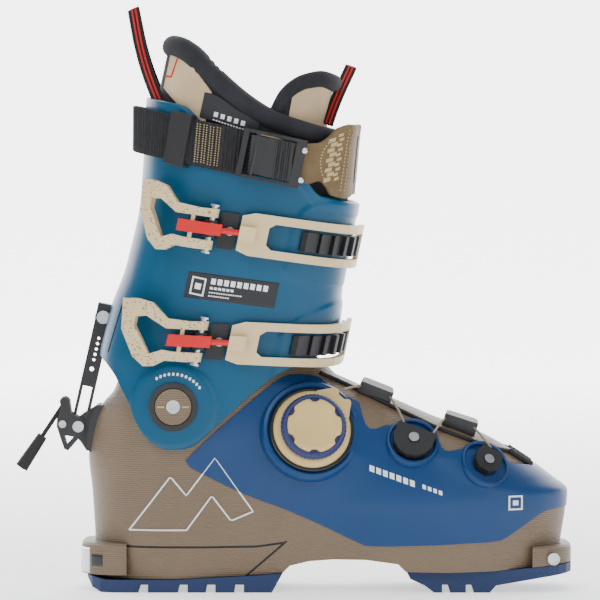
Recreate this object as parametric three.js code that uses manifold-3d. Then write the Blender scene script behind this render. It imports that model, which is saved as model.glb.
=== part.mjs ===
// An alpine touring ski boot for the right foot, in millimetres.
// +X points to the toe, +Y to the medial (inner) side and +Z up. The origin lies on the floor under the heel
// sole, straight below the ankle pivot. The cuff and all that it carries are built upright round the pivot,
// in a group that then leans forward.
import * as THREE from "three";
import { mergeVertices } from "three/addons/utils/BufferGeometryUtils.js";
import Module from "manifold-3d";

const wasm = await Module();
wasm.setup();

// ---- driving dimensions ----
const PIVOT_Z = 118.4; // height of the ankle pivot
const CUFF_LEAN = THREE.MathUtils.degToRad(12); // forward lean of the cuff
const GAP = 0.3; // clearance between pieces that touch
const WALL = 4.2; // shell and cuff wall
const LINER_WALL = 6.5;
const SOLE_HALF = 34.5; // half the standard 69 mm sole width
const SHELL_TOP = 190;
const SHELL_BOTTOM = 8;
const CAVITY_FLOOR = 22;
const HEEL_ROUND = 48; // length over which the heel rounds off
const TOE_ROUND = 62; // length over which the toe and the instep round off
const CUFF_POWER = 3; // squareness of the cuff's section
const LEVER_POWER = 4; // squareness of the flatter path that the buckles follow
const LINER_SPLIT = 88; // radius round the pivot at which the liner's shaft leaves its foot
const PIVOT_RING_RADIUS = 15.2;
const PIVOT_CAP_RADIUS = 11.5;
const PIVOT_SCREW_RADIUS = 4.4;

// ---- materials ----
const plastic = (color, roughness = 0.5) => new THREE.MeshStandardMaterial({ color, roughness, metalness: 0 });
const metal = (color, roughness = 0.3) => new THREE.MeshStandardMaterial({ color, roughness, metalness: 1 });
const MATERIAL = {
  taupe: plastic(0x7d6c57, 0.6),
  blue: plastic(0x1f4c86, 0.45),
  teal: plastic(0x0e6d8c, 0.4),
  sole: plastic(0x163f7d, 0.8),
  cream: plastic(0xd9d0ae, 0.45),
  red: plastic(0xd92a2a, 0.4),
  black: plastic(0x17181a, 0.5),
  rubber: plastic(0x101112, 0.8),
  webbing: plastic(0x1b1c1f, 0.9),
  liner: plastic(0x23242b, 0.95),
  steel: metal(0xb9bcc0),
  blackSteel: metal(0x26282b, 0.5),
};

// ---- solids ----
function solidOf(geometry) {
  const bare = geometry.clone();
  bare.deleteAttribute("normal");
  bare.deleteAttribute("uv");
  const merged = mergeVertices(bare, 1e-4);
  return new wasm.Manifold(
    new wasm.Mesh({
      numProp: 3,
      vertProperties: new Float32Array(merged.attributes.position.array),
      triVerts: new Uint32Array(merged.index.array),
    }),
  );
}

function geometryOf(solid) {
  const made = solid.getMesh();
  return new THREE.BufferGeometry()
    .setAttribute("position", new THREE.BufferAttribute(new Float32Array(made.vertProperties), 3))
    .setIndex(new THREE.BufferAttribute(new Uint32Array(made.triVerts), 1));
}

const cut = (first, ...others) => others.reduce((left, other) => left.subtract(other), first);
const join = (first, ...others) => others.reduce((left, other) => left.add(other), first);

// The largest of a solid's separate bodies: what is left after a cut that also trims off slivers.
function mainBody(solid) {
  const { vertProperties, triVerts } = solid.getMesh();
  const root = Array.from({ length: vertProperties.length / 3 }, (_, i) => i);
  const find = (i) => {
    while (root[i] !== i) {
      root[i] = root[root[i]];
      i = root[i];
    }
    return i;
  };
  for (let t = 0; t < triVerts.length; t += 3) {
    root[find(triVerts[t + 1])] = find(triVerts[t]);
    root[find(triVerts[t + 2])] = find(triVerts[t]);
  }
  const bodies = new Map();
  for (let t = 0; t < triVerts.length; t += 3) {
    const [a, b, c] = [0, 1, 2].map((k) => new THREE.Vector3().fromArray(vertProperties, 3 * triVerts[t + k]));
    const body = find(triVerts[t]);
    const found = bodies.get(body) ?? { volume: 0, faces: [] };
    found.volume += a.dot(b.cross(c));
    found.faces.push(triVerts[t], triVerts[t + 1], triVerts[t + 2]);
    bodies.set(body, found);
  }
  const { faces } = [...bodies.values()].reduce((a, b) => (a.volume > b.volume ? a : b));
  const geometry = new THREE.BufferGeometry()
    .setAttribute("position", new THREE.BufferAttribute(new Float32Array(vertProperties), 3))
    .setIndex(new THREE.BufferAttribute(new Uint32Array(faces), 1));
  return solidOf(geometry.toNonIndexed());
}

// ---- curves ----
// A smooth curve through [x, y] points that never overshoots them (monotone cubic).
function curve(points) {
  const xs = points.map((p) => p[0]);
  const ys = points.map((p) => p[1]);
  const last = xs.length - 1;
  const slopes = xs.slice(1).map((x, i) => (ys[i + 1] - ys[i]) / (x - xs[i]));
  const tangents = xs.map((_, i) => {
    if (i === 0) return slopes[0];
    if (i === last) return slopes[last - 1];
    const [before, after] = [slopes[i - 1], slopes[i]];
    return before * after <= 0 ? 0 : (2 * before * after) / (before + after);
  });
  return (x) => {
    if (x <= xs[0]) return ys[0];
    if (x >= xs[last]) return ys[last];
    const i = xs.findIndex((edge) => edge > x) - 1;
    const width = xs[i + 1] - xs[i];
    const t = (x - xs[i]) / width;
    return (
      (2 * t ** 3 - 3 * t ** 2 + 1) * ys[i] +
      (t ** 3 - 2 * t ** 2 + t) * width * tangents[i] +
      (3 * t ** 2 - 2 * t ** 3) * ys[i + 1] +
      (t ** 3 - t ** 2) * width * tangents[i + 1]
    );
  };
}

// 0 to 1 along a rounded end: 0 at its tip and 1 once the end's length is passed.
const rounded = (t, power) => (t >= 1 ? 1 : t <= 0 ? 0 : (1 - (1 - t) ** power) ** (1 / power));

// ---- the lower shell's surface, as half-width over x (along the foot) and z (up) ----
const heelBack = curve([
  [8, -50],
  [30, -50.8],
  [62, -52.7],
  [85, -55],
  [100, -53],
  [113, -49],
  [119, -45],
  [126, -39],
  [134, -36],
  [160, -30],
  [190, -24.5],
]);
const toeFront = curve([
  [8, 242],
  [29, 245],
  [62, 249],
  [70, 240],
  [79, 228],
  [91, 211],
  [101, 192],
  [109, 168],
  [121, 140],
  [130, 117],
  [136, 104],
  [142, 97.6],
  [150, 89],
  [165, 80],
  [190, 59],
]);
const WIDTH_X = [-60, -20, 0, 40, 90, 150, 200, 250];
const WIDTH_LEVELS = [
  [8, [30, 33, 33, 31, 33, 39, 36, 33]],
  [30, [34, 38, 38, 36, 39, 47, 43, 36]],
  [60, [36, 41.5, 42, 42, 46, 53, 48, 38]],
  [85, [36, 42, 43.5, 44, 48, 50, 42, 34]],
  [105, [35, 42, 45, 45, 46, 41, 33, 28]],
  [125, [34, 41, 45, 44, 41, 33, 28, 24]],
  [150, [32, 38, 42, 41, 36, 30, 26, 22]],
  [190, [30, 36, 40, 39, 34, 28, 24, 20]],
];
const widthRows = WIDTH_LEVELS.map(([, row]) => curve(row.map((half, i) => [WIDTH_X[i], half])));
const plainWidth = (x, z) => curve(WIDTH_LEVELS.map(([level], i) => [level, widthRows[i](x)]))(z);

const shellBack = (z, inset) => heelBack(z) + inset;
const shellFront = (z, inset) => toeFront(z + 1.1 * inset) - inset;
const shellHalf = (x, z, inset = 0) =>
  (plainWidth(x, z) - inset) *
  rounded((x - shellBack(z, inset)) / HEEL_ROUND, 2.1) *
  rounded((shellFront(z, inset) - x) / TOE_ROUND, 2.2);

// A closed ring of points round the shell at height z.
function shellRing(z, inset, steps) {
  const [back, front] = [shellBack(z, inset), shellFront(z, inset)];
  const stations = Array.from({ length: steps + 1 }, (_, k) => {
    const x = back + ((front - back) * (1 - Math.cos((Math.PI * k) / steps))) / 2;
    return [x, k === 0 || k === steps ? 0 : shellHalf(x, z, inset)];
  });
  const lateral = stations.map(([x, half]) => new THREE.Vector3(x, -half, z));
  const medial = stations.slice(1, -1).map(([x, half]) => new THREE.Vector3(x, half, z));
  return [...lateral, ...medial.reverse()];
}

// A closed solid through rings of equal length, capped with fans at both ends.
function loft(rings) {
  const count = rings[0].length;
  const centres = [rings[0], rings.at(-1)].map((ring) =>
    ring.reduce((sum, p) => sum.add(p), new THREE.Vector3()).divideScalar(count),
  );
  const points = [...rings.flat(), ...centres];
  const [low, high] = [points.length - 2, points.length - 1];
  const faces = [];
  for (let r = 0; r < rings.length - 1; r++) {
    for (let i = 0; i < count; i++) {
      const j = (i + 1) % count;
      const [a, b, c, d] = [r * count + i, r * count + j, (r + 1) * count + i, (r + 1) * count + j];
      faces.push(a, b, d, a, d, c);
    }
  }
  const top = (rings.length - 1) * count;
  for (let i = 0; i < count; i++) {
    const j = (i + 1) % count;
    faces.push(low, j, i, high, top + i, top + j);
  }
  const geometry = new THREE.BufferGeometry()
    .setFromPoints(points)
    .setIndex(new THREE.BufferAttribute(new Uint32Array(faces), 1));
  return solidOf(geometry);
}

const SHELL_LEVELS = [30, 62, 75, 88, 98, 108, 117, 125, 133, 143, 160];
function shellSolid(inset, bottom = SHELL_BOTTOM, top = SHELL_TOP) {
  const levels = [bottom, ...SHELL_LEVELS, ...(top > SHELL_TOP ? [SHELL_TOP] : []), top];
  return loft(levels.map((z) => shellRing(z, inset, 11)));
}

// ---- prisms ----
const shapeOf = (points) => new THREE.Shape(points.map(([x, y]) => new THREE.Vector2(x, y)));

// An outline in X and Z, pushed through Y from y0 to y1.
function prism(points, y0 = -90, y1 = 90) {
  const geometry = new THREE.ExtrudeGeometry(shapeOf(points), { depth: y1 - y0, bevelEnabled: false });
  return solidOf(geometry.rotateX(Math.PI / 2).translate(0, y1, 0));
}

// The outline moved outwards by a distance, each side along its own normal.
function grow(points, distance) {
  const area = points.reduce((sum, [x, y], i) => {
    const [nx, ny] = points[(i + 1) % points.length];
    return sum + x * ny - nx * y;
  }, 0);
  const side = Math.sign(area) * distance;
  const normal = ([ax, ay], [bx, by]) => {
    const length = Math.hypot(bx - ax, by - ay);
    return [(by - ay) / length, (ax - bx) / length];
  };
  return points.map((point, i) => {
    const before = normal(points.at(i - 1), point);
    const after = normal(point, points[(i + 1) % points.length]);
    const share = side / (1 + before[0] * after[0] + before[1] * after[1]);
    return [point[0] + (before[0] + after[0]) * share, point[1] + (before[1] + after[1]) * share];
  });
}

// A straight cylinder between two points.
function rod(from, to, radius, sides = 14) {
  const [a, b] = [new THREE.Vector3(...from), new THREE.Vector3(...to)];
  const along = b.clone().sub(a);
  const geometry = new THREE.CylinderGeometry(radius, radius, along.length(), sides);
  const turn = new THREE.Quaternion().setFromUnitVectors(new THREE.Vector3(0, 1, 0), along.clone().normalize());
  geometry.applyQuaternion(turn).translate(...a.add(b).divideScalar(2).toArray());
  return solidOf(geometry);
}

function box(low, high) {
  const size = high.map((value, i) => value - low[i]);
  const centre = high.map((value, i) => (value + low[i]) / 2);
  return solidOf(new THREE.BoxGeometry(...size).translate(...centre));
}

// ---- the scene graph ----
const boot = new THREE.Group();
const cuffFrame = new THREE.Group();
cuffFrame.position.set(0, 0, PIVOT_Z);
cuffFrame.rotation.y = CUFF_LEAN;
boot.add(cuffFrame);

function place(name, solid, material, parent = boot) {
  const mesh = new THREE.Mesh(geometryOf(solid), material);
  mesh.name = name;
  parent.add(mesh);
  return mesh;
}

// ---- outlines seen from the side (x, z) ----
const SHELL_UNDERSIDE = [
  [-62, 10.7],
  [-55, 10.7],
  [-43, 8.3],
  [-2, 8.3],
  [46, 10.7],
  [68.6, 12.5],
  [73, 17],
  [85, 20],
  [100, 21.3],
  [121, 21.3],
  [141, 18.7],
  [146, 13.7],
  [173, 13],
  [202, 13.7],
  [229, 16.2],
  [262, 19.5],
];
const FOREFOOT_TOP_EDGE = [
  [7.6, 84],
  [16, 93],
  [35, 110],
  [55, 127],
  [67, 136.4],
  [79, 138.4],
  [92, 136],
  [104, 126.7],
  [116.8, 120],
  [120.6, 105],
  [127, 103.8],
  [136.5, 107.8],
  [166, 98],
  [168.7, 91.8],
  [172.7, 89.5],
  [184.8, 92.6],
  [204.3, 84],
  [216, 81],
  [228, 79],
];
const FOREFOOT_LOW_EDGE = [
  [262, 53],
  [249, 53],
  [235, 51.8],
  [228, 48],
  [209, 35],
  [203, 32.7],
  [123, 29.7],
  [116.8, 32],
  [77.5, 51],
  [41, 64],
  [10.2, 80],
];
const FOREFOOT_OUTLINE = [...FOREFOOT_TOP_EDGE, [262, 79], ...FOREFOOT_LOW_EDGE];
const FLAP_OUTLINE = [...FOREFOOT_TOP_EDGE.slice(4), [236, 90], [180, 150], [120, 200], [48, 200]];

// ---- the lace dial's place on the lateral side ----
const DIAL_CENTRE = new THREE.Vector3(86.6, -48, 103.7);
const DIAL_AXIS = new THREE.Vector3(0.13, -0.95, 0.26).normalize();
const DIAL_RADIUS = 26.3;
const POD_RADIUS = 30.5;
const dialPoint = (height) => DIAL_CENTRE.clone().addScaledVector(DIAL_AXIS, height).toArray();
const dialDisc = (radius, low, high, sides = 24) => rod(dialPoint(low), dialPoint(high), radius, sides);

// ---- lower shell, forefoot shell and instep flap: one moulding in three pieces ----
const cavity = shellSolid(WALL, CAVITY_FLOOR, SHELL_TOP + 1);
const aboveSole = prism([...SHELL_UNDERSIDE, [262, 220], [-62, 220]]);
const wholeShell = cut(shellSolid(0).intersect(aboveSole), cavity);
const forefootSpace = prism(grow(FOREFOOT_OUTLINE, GAP));
const flapSpace = prism(grow(FLAP_OUTLINE, GAP));
const dialPod = cut(dialDisc(POD_RADIUS, -16, 0), cavity);
const podSpace = dialDisc(POD_RADIUS + GAP, -18, 1);

// Ledge of standard sole width that a binding's toe or heel piece clamps.
const ledge = (x0, x1, bottom, top, round) => {
  const outline = new THREE.Shape();
  const [outer, inner] = x0 < 0 ? [x0, x1] : [x1, x0];
  const bend = outer < inner ? round : -round;
  outline.moveTo(inner, -SOLE_HALF);
  outline.lineTo(outer + bend, -SOLE_HALF);
  outline.quadraticCurveTo(outer, -SOLE_HALF, outer, -SOLE_HALF + round);
  outline.lineTo(outer, SOLE_HALF - round);
  outline.quadraticCurveTo(outer, SOLE_HALF, outer + bend, SOLE_HALF);
  outline.lineTo(inner, SOLE_HALF);
  const extrusion = { depth: top - bottom, bevelEnabled: false, curveSegments: 5 };
  const geometry = new THREE.ExtrudeGeometry(outline, extrusion);
  return solidOf(geometry.translate(0, 0, bottom));
};
const heelLedge = cut(ledge(-59, -30, 2, 30.8, 26).intersect(aboveSole), cavity);
const toeLedge = cut(ledge(226, 251.5, 2, 29, 24).intersect(aboveSole), cavity);

const [TOE_INSERT_X, TOE_INSERT_Z] = [239.4, 21.2]; // the bar that a pin binding grips
const HEEL_INSERT_HALF = 9;
const TOE_INSERT_RADIUS = 3.9;
const toeBar = (y, radius) => rod([TOE_INSERT_X, -y, TOE_INSERT_Z], [TOE_INSERT_X, y, TOE_INSERT_Z], radius);
const toeInsert = toeBar(SOLE_HALF + 0.6, TOE_INSERT_RADIUS);
const toeInsertSpace = toeBar(40, TOE_INSERT_RADIUS + GAP);
const heelInsertSpace = box([-60, -HEEL_INSERT_HALF - GAP, 5], [-53.5, HEEL_INSERT_HALF + GAP, 28]);

const lowerShell = cut(
  join(wholeShell, heelLedge, toeLedge),
  forefootSpace,
  flapSpace,
  podSpace,
  toeInsertSpace,
  heelInsertSpace,
);
place("lower_shell", mainBody(lowerShell), MATERIAL.taupe);
const DIAL_POCKET = 3;
const forefoot = cut(
  join(cut(wholeShell.intersect(prism(FOREFOOT_OUTLINE)), podSpace), dialPod),
  dialDisc(DIAL_RADIUS + GAP, -DIAL_POCKET, 5),
);
const flap = cut(wholeShell.intersect(prism(FLAP_OUTLINE)), forefootSpace, podSpace);
place("toe_insert", toeInsert, MATERIAL.steel);
place("heel_insert", box([-59.6, -HEEL_INSERT_HALF, 11.2], [-53.9, HEEL_INSERT_HALF, 27.6]), MATERIAL.steel);

// ---- soles ----
const heelPlan = ledge(-56, 72, -1, 40, 26);
const toePlan = ledge(144, 251.5, -1, 40, 24);
const lugGaps = (starts, width, depth) => starts.map((x) => box([x, -40, -1], [x + width, 40, depth]));
const heelSole = prism(
  [
    [-56, 10.4],
    [-52, 3],
    [-46, 0],
    [61.6, 0],
    [68.4, 12.1],
    [46, 10.4],
    [-2, 8],
    [-43, 8],
    [-55, 10.4],
  ],
  -SOLE_HALF,
  SOLE_HALF,
);
const toeSole = prism(
  [
    [146.5, 13.3],
    [149, 8.6],
    [158, 4.5],
    [164, 0],
    [199, 0],
    [203, 4.5],
    [231, 9.3],
    [251.5, 12.4],
    [251.5, 18],
    [229, 15.9],
    [202, 13.4],
    [173, 12.7],
  ],
  -SOLE_HALF,
  SOLE_HALF,
);
const heelGaps = lugGaps([-22.5, 2.5, 20, 38], 6, 5);
const toeGaps = lugGaps([169, 184], 5, 5);
place("heel_sole", cut(heelSole.intersect(heelPlan), ...heelGaps, heelInsertSpace), MATERIAL.sole);
place("toe_sole", cut(toeSole.intersect(toePlan), ...toeGaps), MATERIAL.sole);

// ---- boot board under the liner ----
const boardRing = (z) => shellRing(CAVITY_FLOOR, WALL + 1.5, 12).map((p) => p.setZ(z));
const board = loft([boardRing(CAVITY_FLOOR + GAP), boardRing(CAVITY_FLOOR + 4.7)]);
place("boot_board", cut(board, box([232, -60, 0], [260, 60, 60])), MATERIAL.black);

// ---- liner, foot part: fills the shell's cavity up to a round parting line that the cuff turns about ----
const LINER_BOTTOM = CAVITY_FLOOR + 5;
const linerGap = WALL + 0.7;
const linerOuter = shellSolid(linerGap, LINER_BOTTOM, 200);
const linerInner = shellSolid(linerGap + LINER_WALL, LINER_BOTTOM + 2, 201);
const partingRound = rod([0, -80, PIVOT_Z], [0, 80, PIVOT_Z], LINER_SPLIT, 36);
const belowParting = join(partingRound, box([-90, -80, 0], [260, 80, PIVOT_Z]));
const linerFoot = cut(linerOuter.intersect(belowParting), linerInner);
place("liner_foot", mainBody(linerFoot), MATERIAL.liner);
const footbedRing = (z) => shellRing(LINER_BOTTOM + 2, linerGap + LINER_WALL + 1.5, 12).map((p) => p.setZ(z));
place("footbed", loft([footbedRing(LINER_BOTTOM + 2 + GAP), footbedRing(LINER_BOTTOM + 6)]), MATERIAL.red);

// ---- the cuff's surface, upright in its own frame: u forward, v medial, w up from the pivot ----
const cuffBack = curve([
  [-30, -50],
  [20, -52.5],
  [50, -51.5],
  [78, -47.5],
  [110, -46.5],
  [146, -50.5],
  [186, -56],
]);
const cuffFront = curve([
  [-30, 93],
  [48, 93],
  [77, 91],
  [100, 88.5],
  [136, 87.5],
  [186, 85],
]);
const cuffHalf = curve([
  [-30, 50.6],
  [30, 50.6],
  [80, 52],
  [120, 54],
  [160, 56],
  [190, 57],
]);

// The point at an angle from the front on a rounded box from back to front and half wide to each side.
function sectionPoint(back, front, half, angle, power) {
  const a = (front - back) / 2;
  const [c, s] = [Math.cos(angle), Math.sin(angle)];
  const r = ((Math.abs(c) / a) ** power + (Math.abs(s) / half) ** power) ** (-1 / power);
  return [(front + back) / 2 + r * c, r * s];
}
const cuffPoint = (w, angle, inset) =>
  sectionPoint(cuffBack(w) + inset, cuffFront(w) - inset, cuffHalf(w) - inset, angle, CUFF_POWER);

// A solid inside the cuff's surface. leanIn gives how far its front lies further back at each height.
function cuffSolid(inset, levels, leanIn = () => 0, steps = 24) {
  const ring = (w) => {
    const middle = (cuffBack(w) + cuffFront(w)) / 2;
    const depth = cuffFront(w) - inset - middle;
    return Array.from({ length: steps }, (_, k) => {
      const [u, v] = cuffPoint(w, (2 * Math.PI * k) / steps, inset);
      const share = Math.max(0, u - middle) / depth;
      return new THREE.Vector3(u - leanIn(w) * share, v, w);
    });
  };
  return loft(levels.map(ring));
}

const CUFF_EDGE = [
  [-60, 20.5],
  [-52, 19],
  [-41.3, 11.3],
  [-35.4, 4.2],
  [-24.8, -8.4],
  [-17, -19],
  [-9, -25],
  [0, -27.3],
  [8, -26],
  [16.4, -22.2],
  [23.5, -14.4],
  [35, 1.6],
  [49.4, 20.9],
  [59.3, 32.6],
  [72, 42],
  [84, 50],
  [100, 53],
];
const CUFF_TOP_EDGE = [
  [100, 148.5],
  [64, 148.5],
  [46, 161],
  [-18, 177],
  [-36, 186],
  [-60, 186],
];
const SPINE_HALF = 8.6; // half-width of the slot that the walk-mode bar lies in
const CLEVIS_HALF = 6.2;
const SPINE_PIVOT = new THREE.Vector3(-45.5, 0, 172.5);
const AXLE = new THREE.Vector3(0, 1, 0);
const spineLocal = SPINE_PIVOT.clone().sub(cuffFrame.position).applyAxisAngle(AXLE, -CUFF_LEAN);
const cuffLevels = [-30, 20, 50, 78, 110, 146, 187];
const cuffWall = cut(cuffSolid(0, cuffLevels), cuffSolid(WALL, [-32, ...cuffLevels.slice(1, -1), 189]));
const cuff = cut(
  cuffWall.intersect(prism([...CUFF_EDGE, ...CUFF_TOP_EDGE])),
  box([-70, -SPINE_HALF, 0], [-38, SPINE_HALF, spineLocal.z + 9]),
  rod([0, -80, 0], [0, 80, 0], PIVOT_CAP_RADIUS + 0.5, 24),
);
place("cuff", mainBody(cuff), MATERIAL.teal, cuffFrame);

// ---- ankle pivots, one on each side ----
for (const [side, sign] of [["lateral", -1], ["medial", 1]]) {
  const across = (y) => [0, sign * y, 0];
  const ring = cut(
    rod(across(51), across(53), PIVOT_RING_RADIUS, 24),
    rod(across(40), across(60), PIVOT_CAP_RADIUS + 0.5, 24),
  );
  place(`pivot_ring_${side}`, ring, MATERIAL.black, cuffFrame);
  const shellAcross = (y) => [0, sign * y, PIVOT_Z];
  const cap = cut(
    rod(shellAcross(45.7), shellAcross(52.4), PIVOT_CAP_RADIUS, 24),
    rod(shellAcross(48.5), shellAcross(60), PIVOT_SCREW_RADIUS + GAP),
  );
  const screw = rod(shellAcross(48.5 + GAP), shellAcross(51.8), PIVOT_SCREW_RADIUS);
  place(`pivot_cap_${side}`, cap, MATERIAL.taupe);
  place(`pivot_screw_${side}`, screw, MATERIAL.steel);
}

// ---- parts bent round the cuff: s along its side (0 at mid-side, + forward), t up, n out from its surface ----
// The path is the cuff's outermost section between two heights.
function wrap(low, high, power) {
  const steps = 360;
  const heights = [low, (low + high) / 2, high];
  const back = Math.min(...heights.map(cuffBack));
  const front = Math.max(...heights.map(cuffFront));
  const half = Math.max(...heights.map(cuffHalf));
  const points = Array.from({ length: steps + 1 }, (_, k) => {
    const angle = THREE.MathUtils.degToRad(-270 + k);
    return sectionPoint(back, front, half, angle, Math.cos(angle) < 0 ? power : CUFF_POWER);
  });
  const lengths = [0];
  for (let k = 1; k <= steps; k++) {
    const [[ax, ay], [bx, by]] = [points[k - 1], points[k]];
    lengths.push(lengths[k - 1] + Math.hypot(bx - ax, by - ay));
  }
  const start = lengths[180];
  return (s, n) => {
    const k = Math.min(steps - 1, Math.max(1, lengths.findIndex((length) => length > s + start) - 1));
    const share = (s + start - lengths[k]) / (lengths[k + 1] - lengths[k]);
    const [[ax, ay], [bx, by]] = [points[k], points[k + 1]];
    const [px, py] = [points[k - 1], points[Math.min(steps, k + 2)]];
    const [dx, dy] = [py[0] - px[0], py[1] - px[1]];
    const length = Math.hypot(dx, dy);
    return [ax + (bx - ax) * share + (n * dy) / length, ay + (by - ay) * share - (n * dx) / length];
  };
}

// A flat solid bent along its x: cut into short slabs, each moved to its place on the curve, then joined again.
const BEND_STEP = 8;
function bend(geometry, at) {
  const flatSolid = solidOf(geometry);
  geometry.computeBoundingBox();
  const { min, max } = geometry.boundingBox;
  const count = Math.max(1, Math.ceil((max.x - min.x) / BEND_STEP));
  const edge = (k) => min.x + ((max.x - min.x) * k) / count;
  const slabs = Array.from({ length: count }, (_, k) => {
    const slab = flatSolid.intersect(box([edge(k), min.y - 1, min.z - 1], [edge(k + 1), max.y + 1, max.z + 1]));
    const made = geometryOf(slab);
    const position = made.attributes.position;
    for (let i = 0; i < position.count; i++) {
      position.setXYZ(i, ...at(position.getX(i), position.getY(i), position.getZ(i)));
    }
    return solidOf(made.toNonIndexed());
  });
  return join(...slabs);
}

// A plate with its outline in s and t, from n0 to n1 thick.
function bentPlate(at, outline, n0, n1, hole) {
  const shape = shapeOf(outline);
  if (hole) shape.holes.push(shapeOf(hole));
  const geometry = new THREE.ExtrudeGeometry(shape, { depth: n1 - n0, bevelEnabled: false });
  return bend(geometry, (s, t, n) => at(s, t, n + n0));
}

// A bar with its profile in s and n, from t0 to t1 tall.
function bentBar(at, profile, t0, t1) {
  const geometry = new THREE.ExtrudeGeometry(shapeOf(profile), { depth: t1 - t0, bevelEnabled: false });
  return bend(geometry, (s, n, t) => at(s, t1 - t, n));
}

// ---- buckles: lever, hinge, threaded barrel, bail and tooth rack ----
const HINGE_S = -19.6;
const HINGE_N = 6.9;
const TRUNNION_S = -31;
const TRUNNION_N = 8.6;
const HOOK_S = 88.2;
const TOOTH_PITCH = 8.6;
const GRIP_START = -41; // behind this the lever's grip is made longer or shorter
const GRIP_END = -69;
const LEVER_OUTLINE = [
  [-15.6, 7.3],
  [-15.6, 13],
  [-27, 12.4],
  [-41, 13.5],
  [-52, 23],
  [-61, 25],
  [-69, 24.5],
  [-66.5, 5],
  [-57, -12],
  [-50, -17.5],
  [-44, -17],
  [-38, -13.2],
  [-27, -13.4],
  [-15.6, -13],
  [-15.6, -7.3],
  [-34, -7.3],
  [-41, -6.5],
  [-48, -9.5],
  [-60, 8],
  [-60, 13.5],
  [-54, 14.5],
  [-41, 7.3],
];

const BASE_OUTLINE = [
  [-28, -5.4],
  [-14, -5.4],
  [-14, -11.5],
  [-3.4, -11.5],
  [-3.4, 11.5],
  [-14, 11.5],
  [-14, 5.4],
  [-28, 5.4],
];

function buckle(name, height, slope, shift, leverEnd) {
  const stretch = (leverEnd - GRIP_START) / (GRIP_END - GRIP_START);
  const leverOutline = LEVER_OUTLINE.map(([s, t]) => [s + Math.min(0, s - GRIP_START) * (stretch - 1), t]);
  const path = wrap(height - 18, height + 24, LEVER_POWER);
  const at = (s, t, n) => {
    const [u, v] = path(s + shift, n);
    return [u, v, height + slope * (s + shift) + t];
  };
  const pinAt = (s, n, half, radius, sides = 12) => rod(at(s, -half, n), at(s, half, n), radius, sides);
  const add = (part, solid, material) => place(`${name}_${part}`, solid, material, cuffFrame);

  const hingeHole = pinAt(HINGE_S, HINGE_N, 30, 1.8 + 0.1);
  const trunnionHole = pinAt(TRUNNION_S, TRUNNION_N, 30, 1.4 + 0.1);
  const plate = bentPlate(at, BASE_OUTLINE, 1.2, 2.8);
  const earOutline = [[-25, 2], [-14.5, 2], [-16.2, 8.8], [-19.6, 10.2], [-22.8, 8.8]];
  const ear = (t0) => bentBar(at, earOutline, t0, t0 + 1.45);
  const rivetPart = (n0, n1, radius) => rod(at(-7.5, 0, n0), at(-7.5, 0, n1), radius, 16);
  const rivetHole = rivetPart(0, 6, 1.6 + 0.1);
  add("base", cut(join(plate, ear(-5.4), ear(3.95)), hingeHole, rivetHole), MATERIAL.black);
  add("rivet", join(rivetPart(1.3, 3.6, 1.6), rivetPart(3.1, 4.3, 2.8)), MATERIAL.steel);

  const leverPlate = bentPlate(at, leverOutline, 4.6, 10.2);
  const frontEnd = cut(
    bentBar(at, [[HINGE_S, 0], [-10, 0], [-10, 14], [HINGE_S, 14]], -20, 20),
    pinAt(HINGE_S, HINGE_N, 22, 3.4, 16),
  );
  const lever = join(cut(leverPlate, frontEnd, hingeHole), pinAt(TRUNNION_S, TRUNNION_N, 11, 1.4));
  add("lever", lever, MATERIAL.cream);
  const pinHead = (t) => rod(at(HINGE_S, t, HINGE_N), at(HINGE_S, t + Math.sign(t) * 1.2, HINGE_N), 2.9, 12);
  add("hinge_pin", join(pinAt(HINGE_S, HINGE_N, 14.6, 1.8), pinHead(14.3), pinHead(-14.3)), MATERIAL.steel);

  const barrelBlock = bentBar(
    at,
    [[-39.5, 7.4], [-27, 6.9], [-24.2, 8.9], [-12.6, 8.9], [-12.6, 12.6], [-38.5, 12.6]],
    -3.7,
    3.7,
  );
  const threadedRod = rod(at(-13.5, 0, 10.3), at(5, 0, 9.2), 1.9, 14);
  add("barrel", cut(join(barrelBlock, threadedRod), trunnionHole), MATERIAL.red);
  const frame = bentPlate(
    at,
    [[-1.6, -11], [6, -13.5], [90, -13.5], [90, 13.5], [6, 13.5], [-1.6, 11]],
    3.2,
    6.2,
    [[16, 5.4], [19.6, 8.2], [86.4, 8.2], [86.4, -8.2], [19.6, -8.2], [16, -5.4]],
  );
  const root = bentPlate(at, [[-1.6, -4.6], [8.5, -4.6], [8.5, 4.6], [-1.6, 4.6]], 5.4, 11.8);
  const rodHole = rod(at(-4, 0, 9.75), at(5.9, 0, 9.15), 1.9 + GAP, 14);
  add("bail", cut(join(frame, root), rodHole), MATERIAL.cream);

  const teeth = [];
  for (let k = -6; k < 3; k++) {
    const middle = HOOK_S + (k + 0.5) * TOOTH_PITCH;
    teeth.push([middle - 1.5, 5.6], [middle + 1.1, 5.6], [middle + 1.5, 2.8], [middle + TOOTH_PITCH - 2, 2.8]);
  }
  const start = HOOK_S - 5.5 * TOOTH_PITCH - 4;
  const end = HOOK_S + 2.5 * TOOTH_PITCH + 5;
  const rackTop = [...teeth.slice(0, -1), [end, 2.8]].reverse();
  add("rack", bentBar(at, [[start, 1.2], [end, 1.2], ...rackTop, [start, 2.8]], -6.2, 6.2), MATERIAL.black);
}
buckle("upper", 115.7, 0.069, 0, -62.3);
buckle("lower", 46.2, 0.165, 7, -67.7);

// ---- power strap round the cuff's top ----
const STRAP_LOW = 150.5;
const STRAP_HIGH = 179;
const CUFF_RIM = 186;
const strapPath = wrap(STRAP_LOW, CUFF_RIM, CUFF_POWER);
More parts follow.
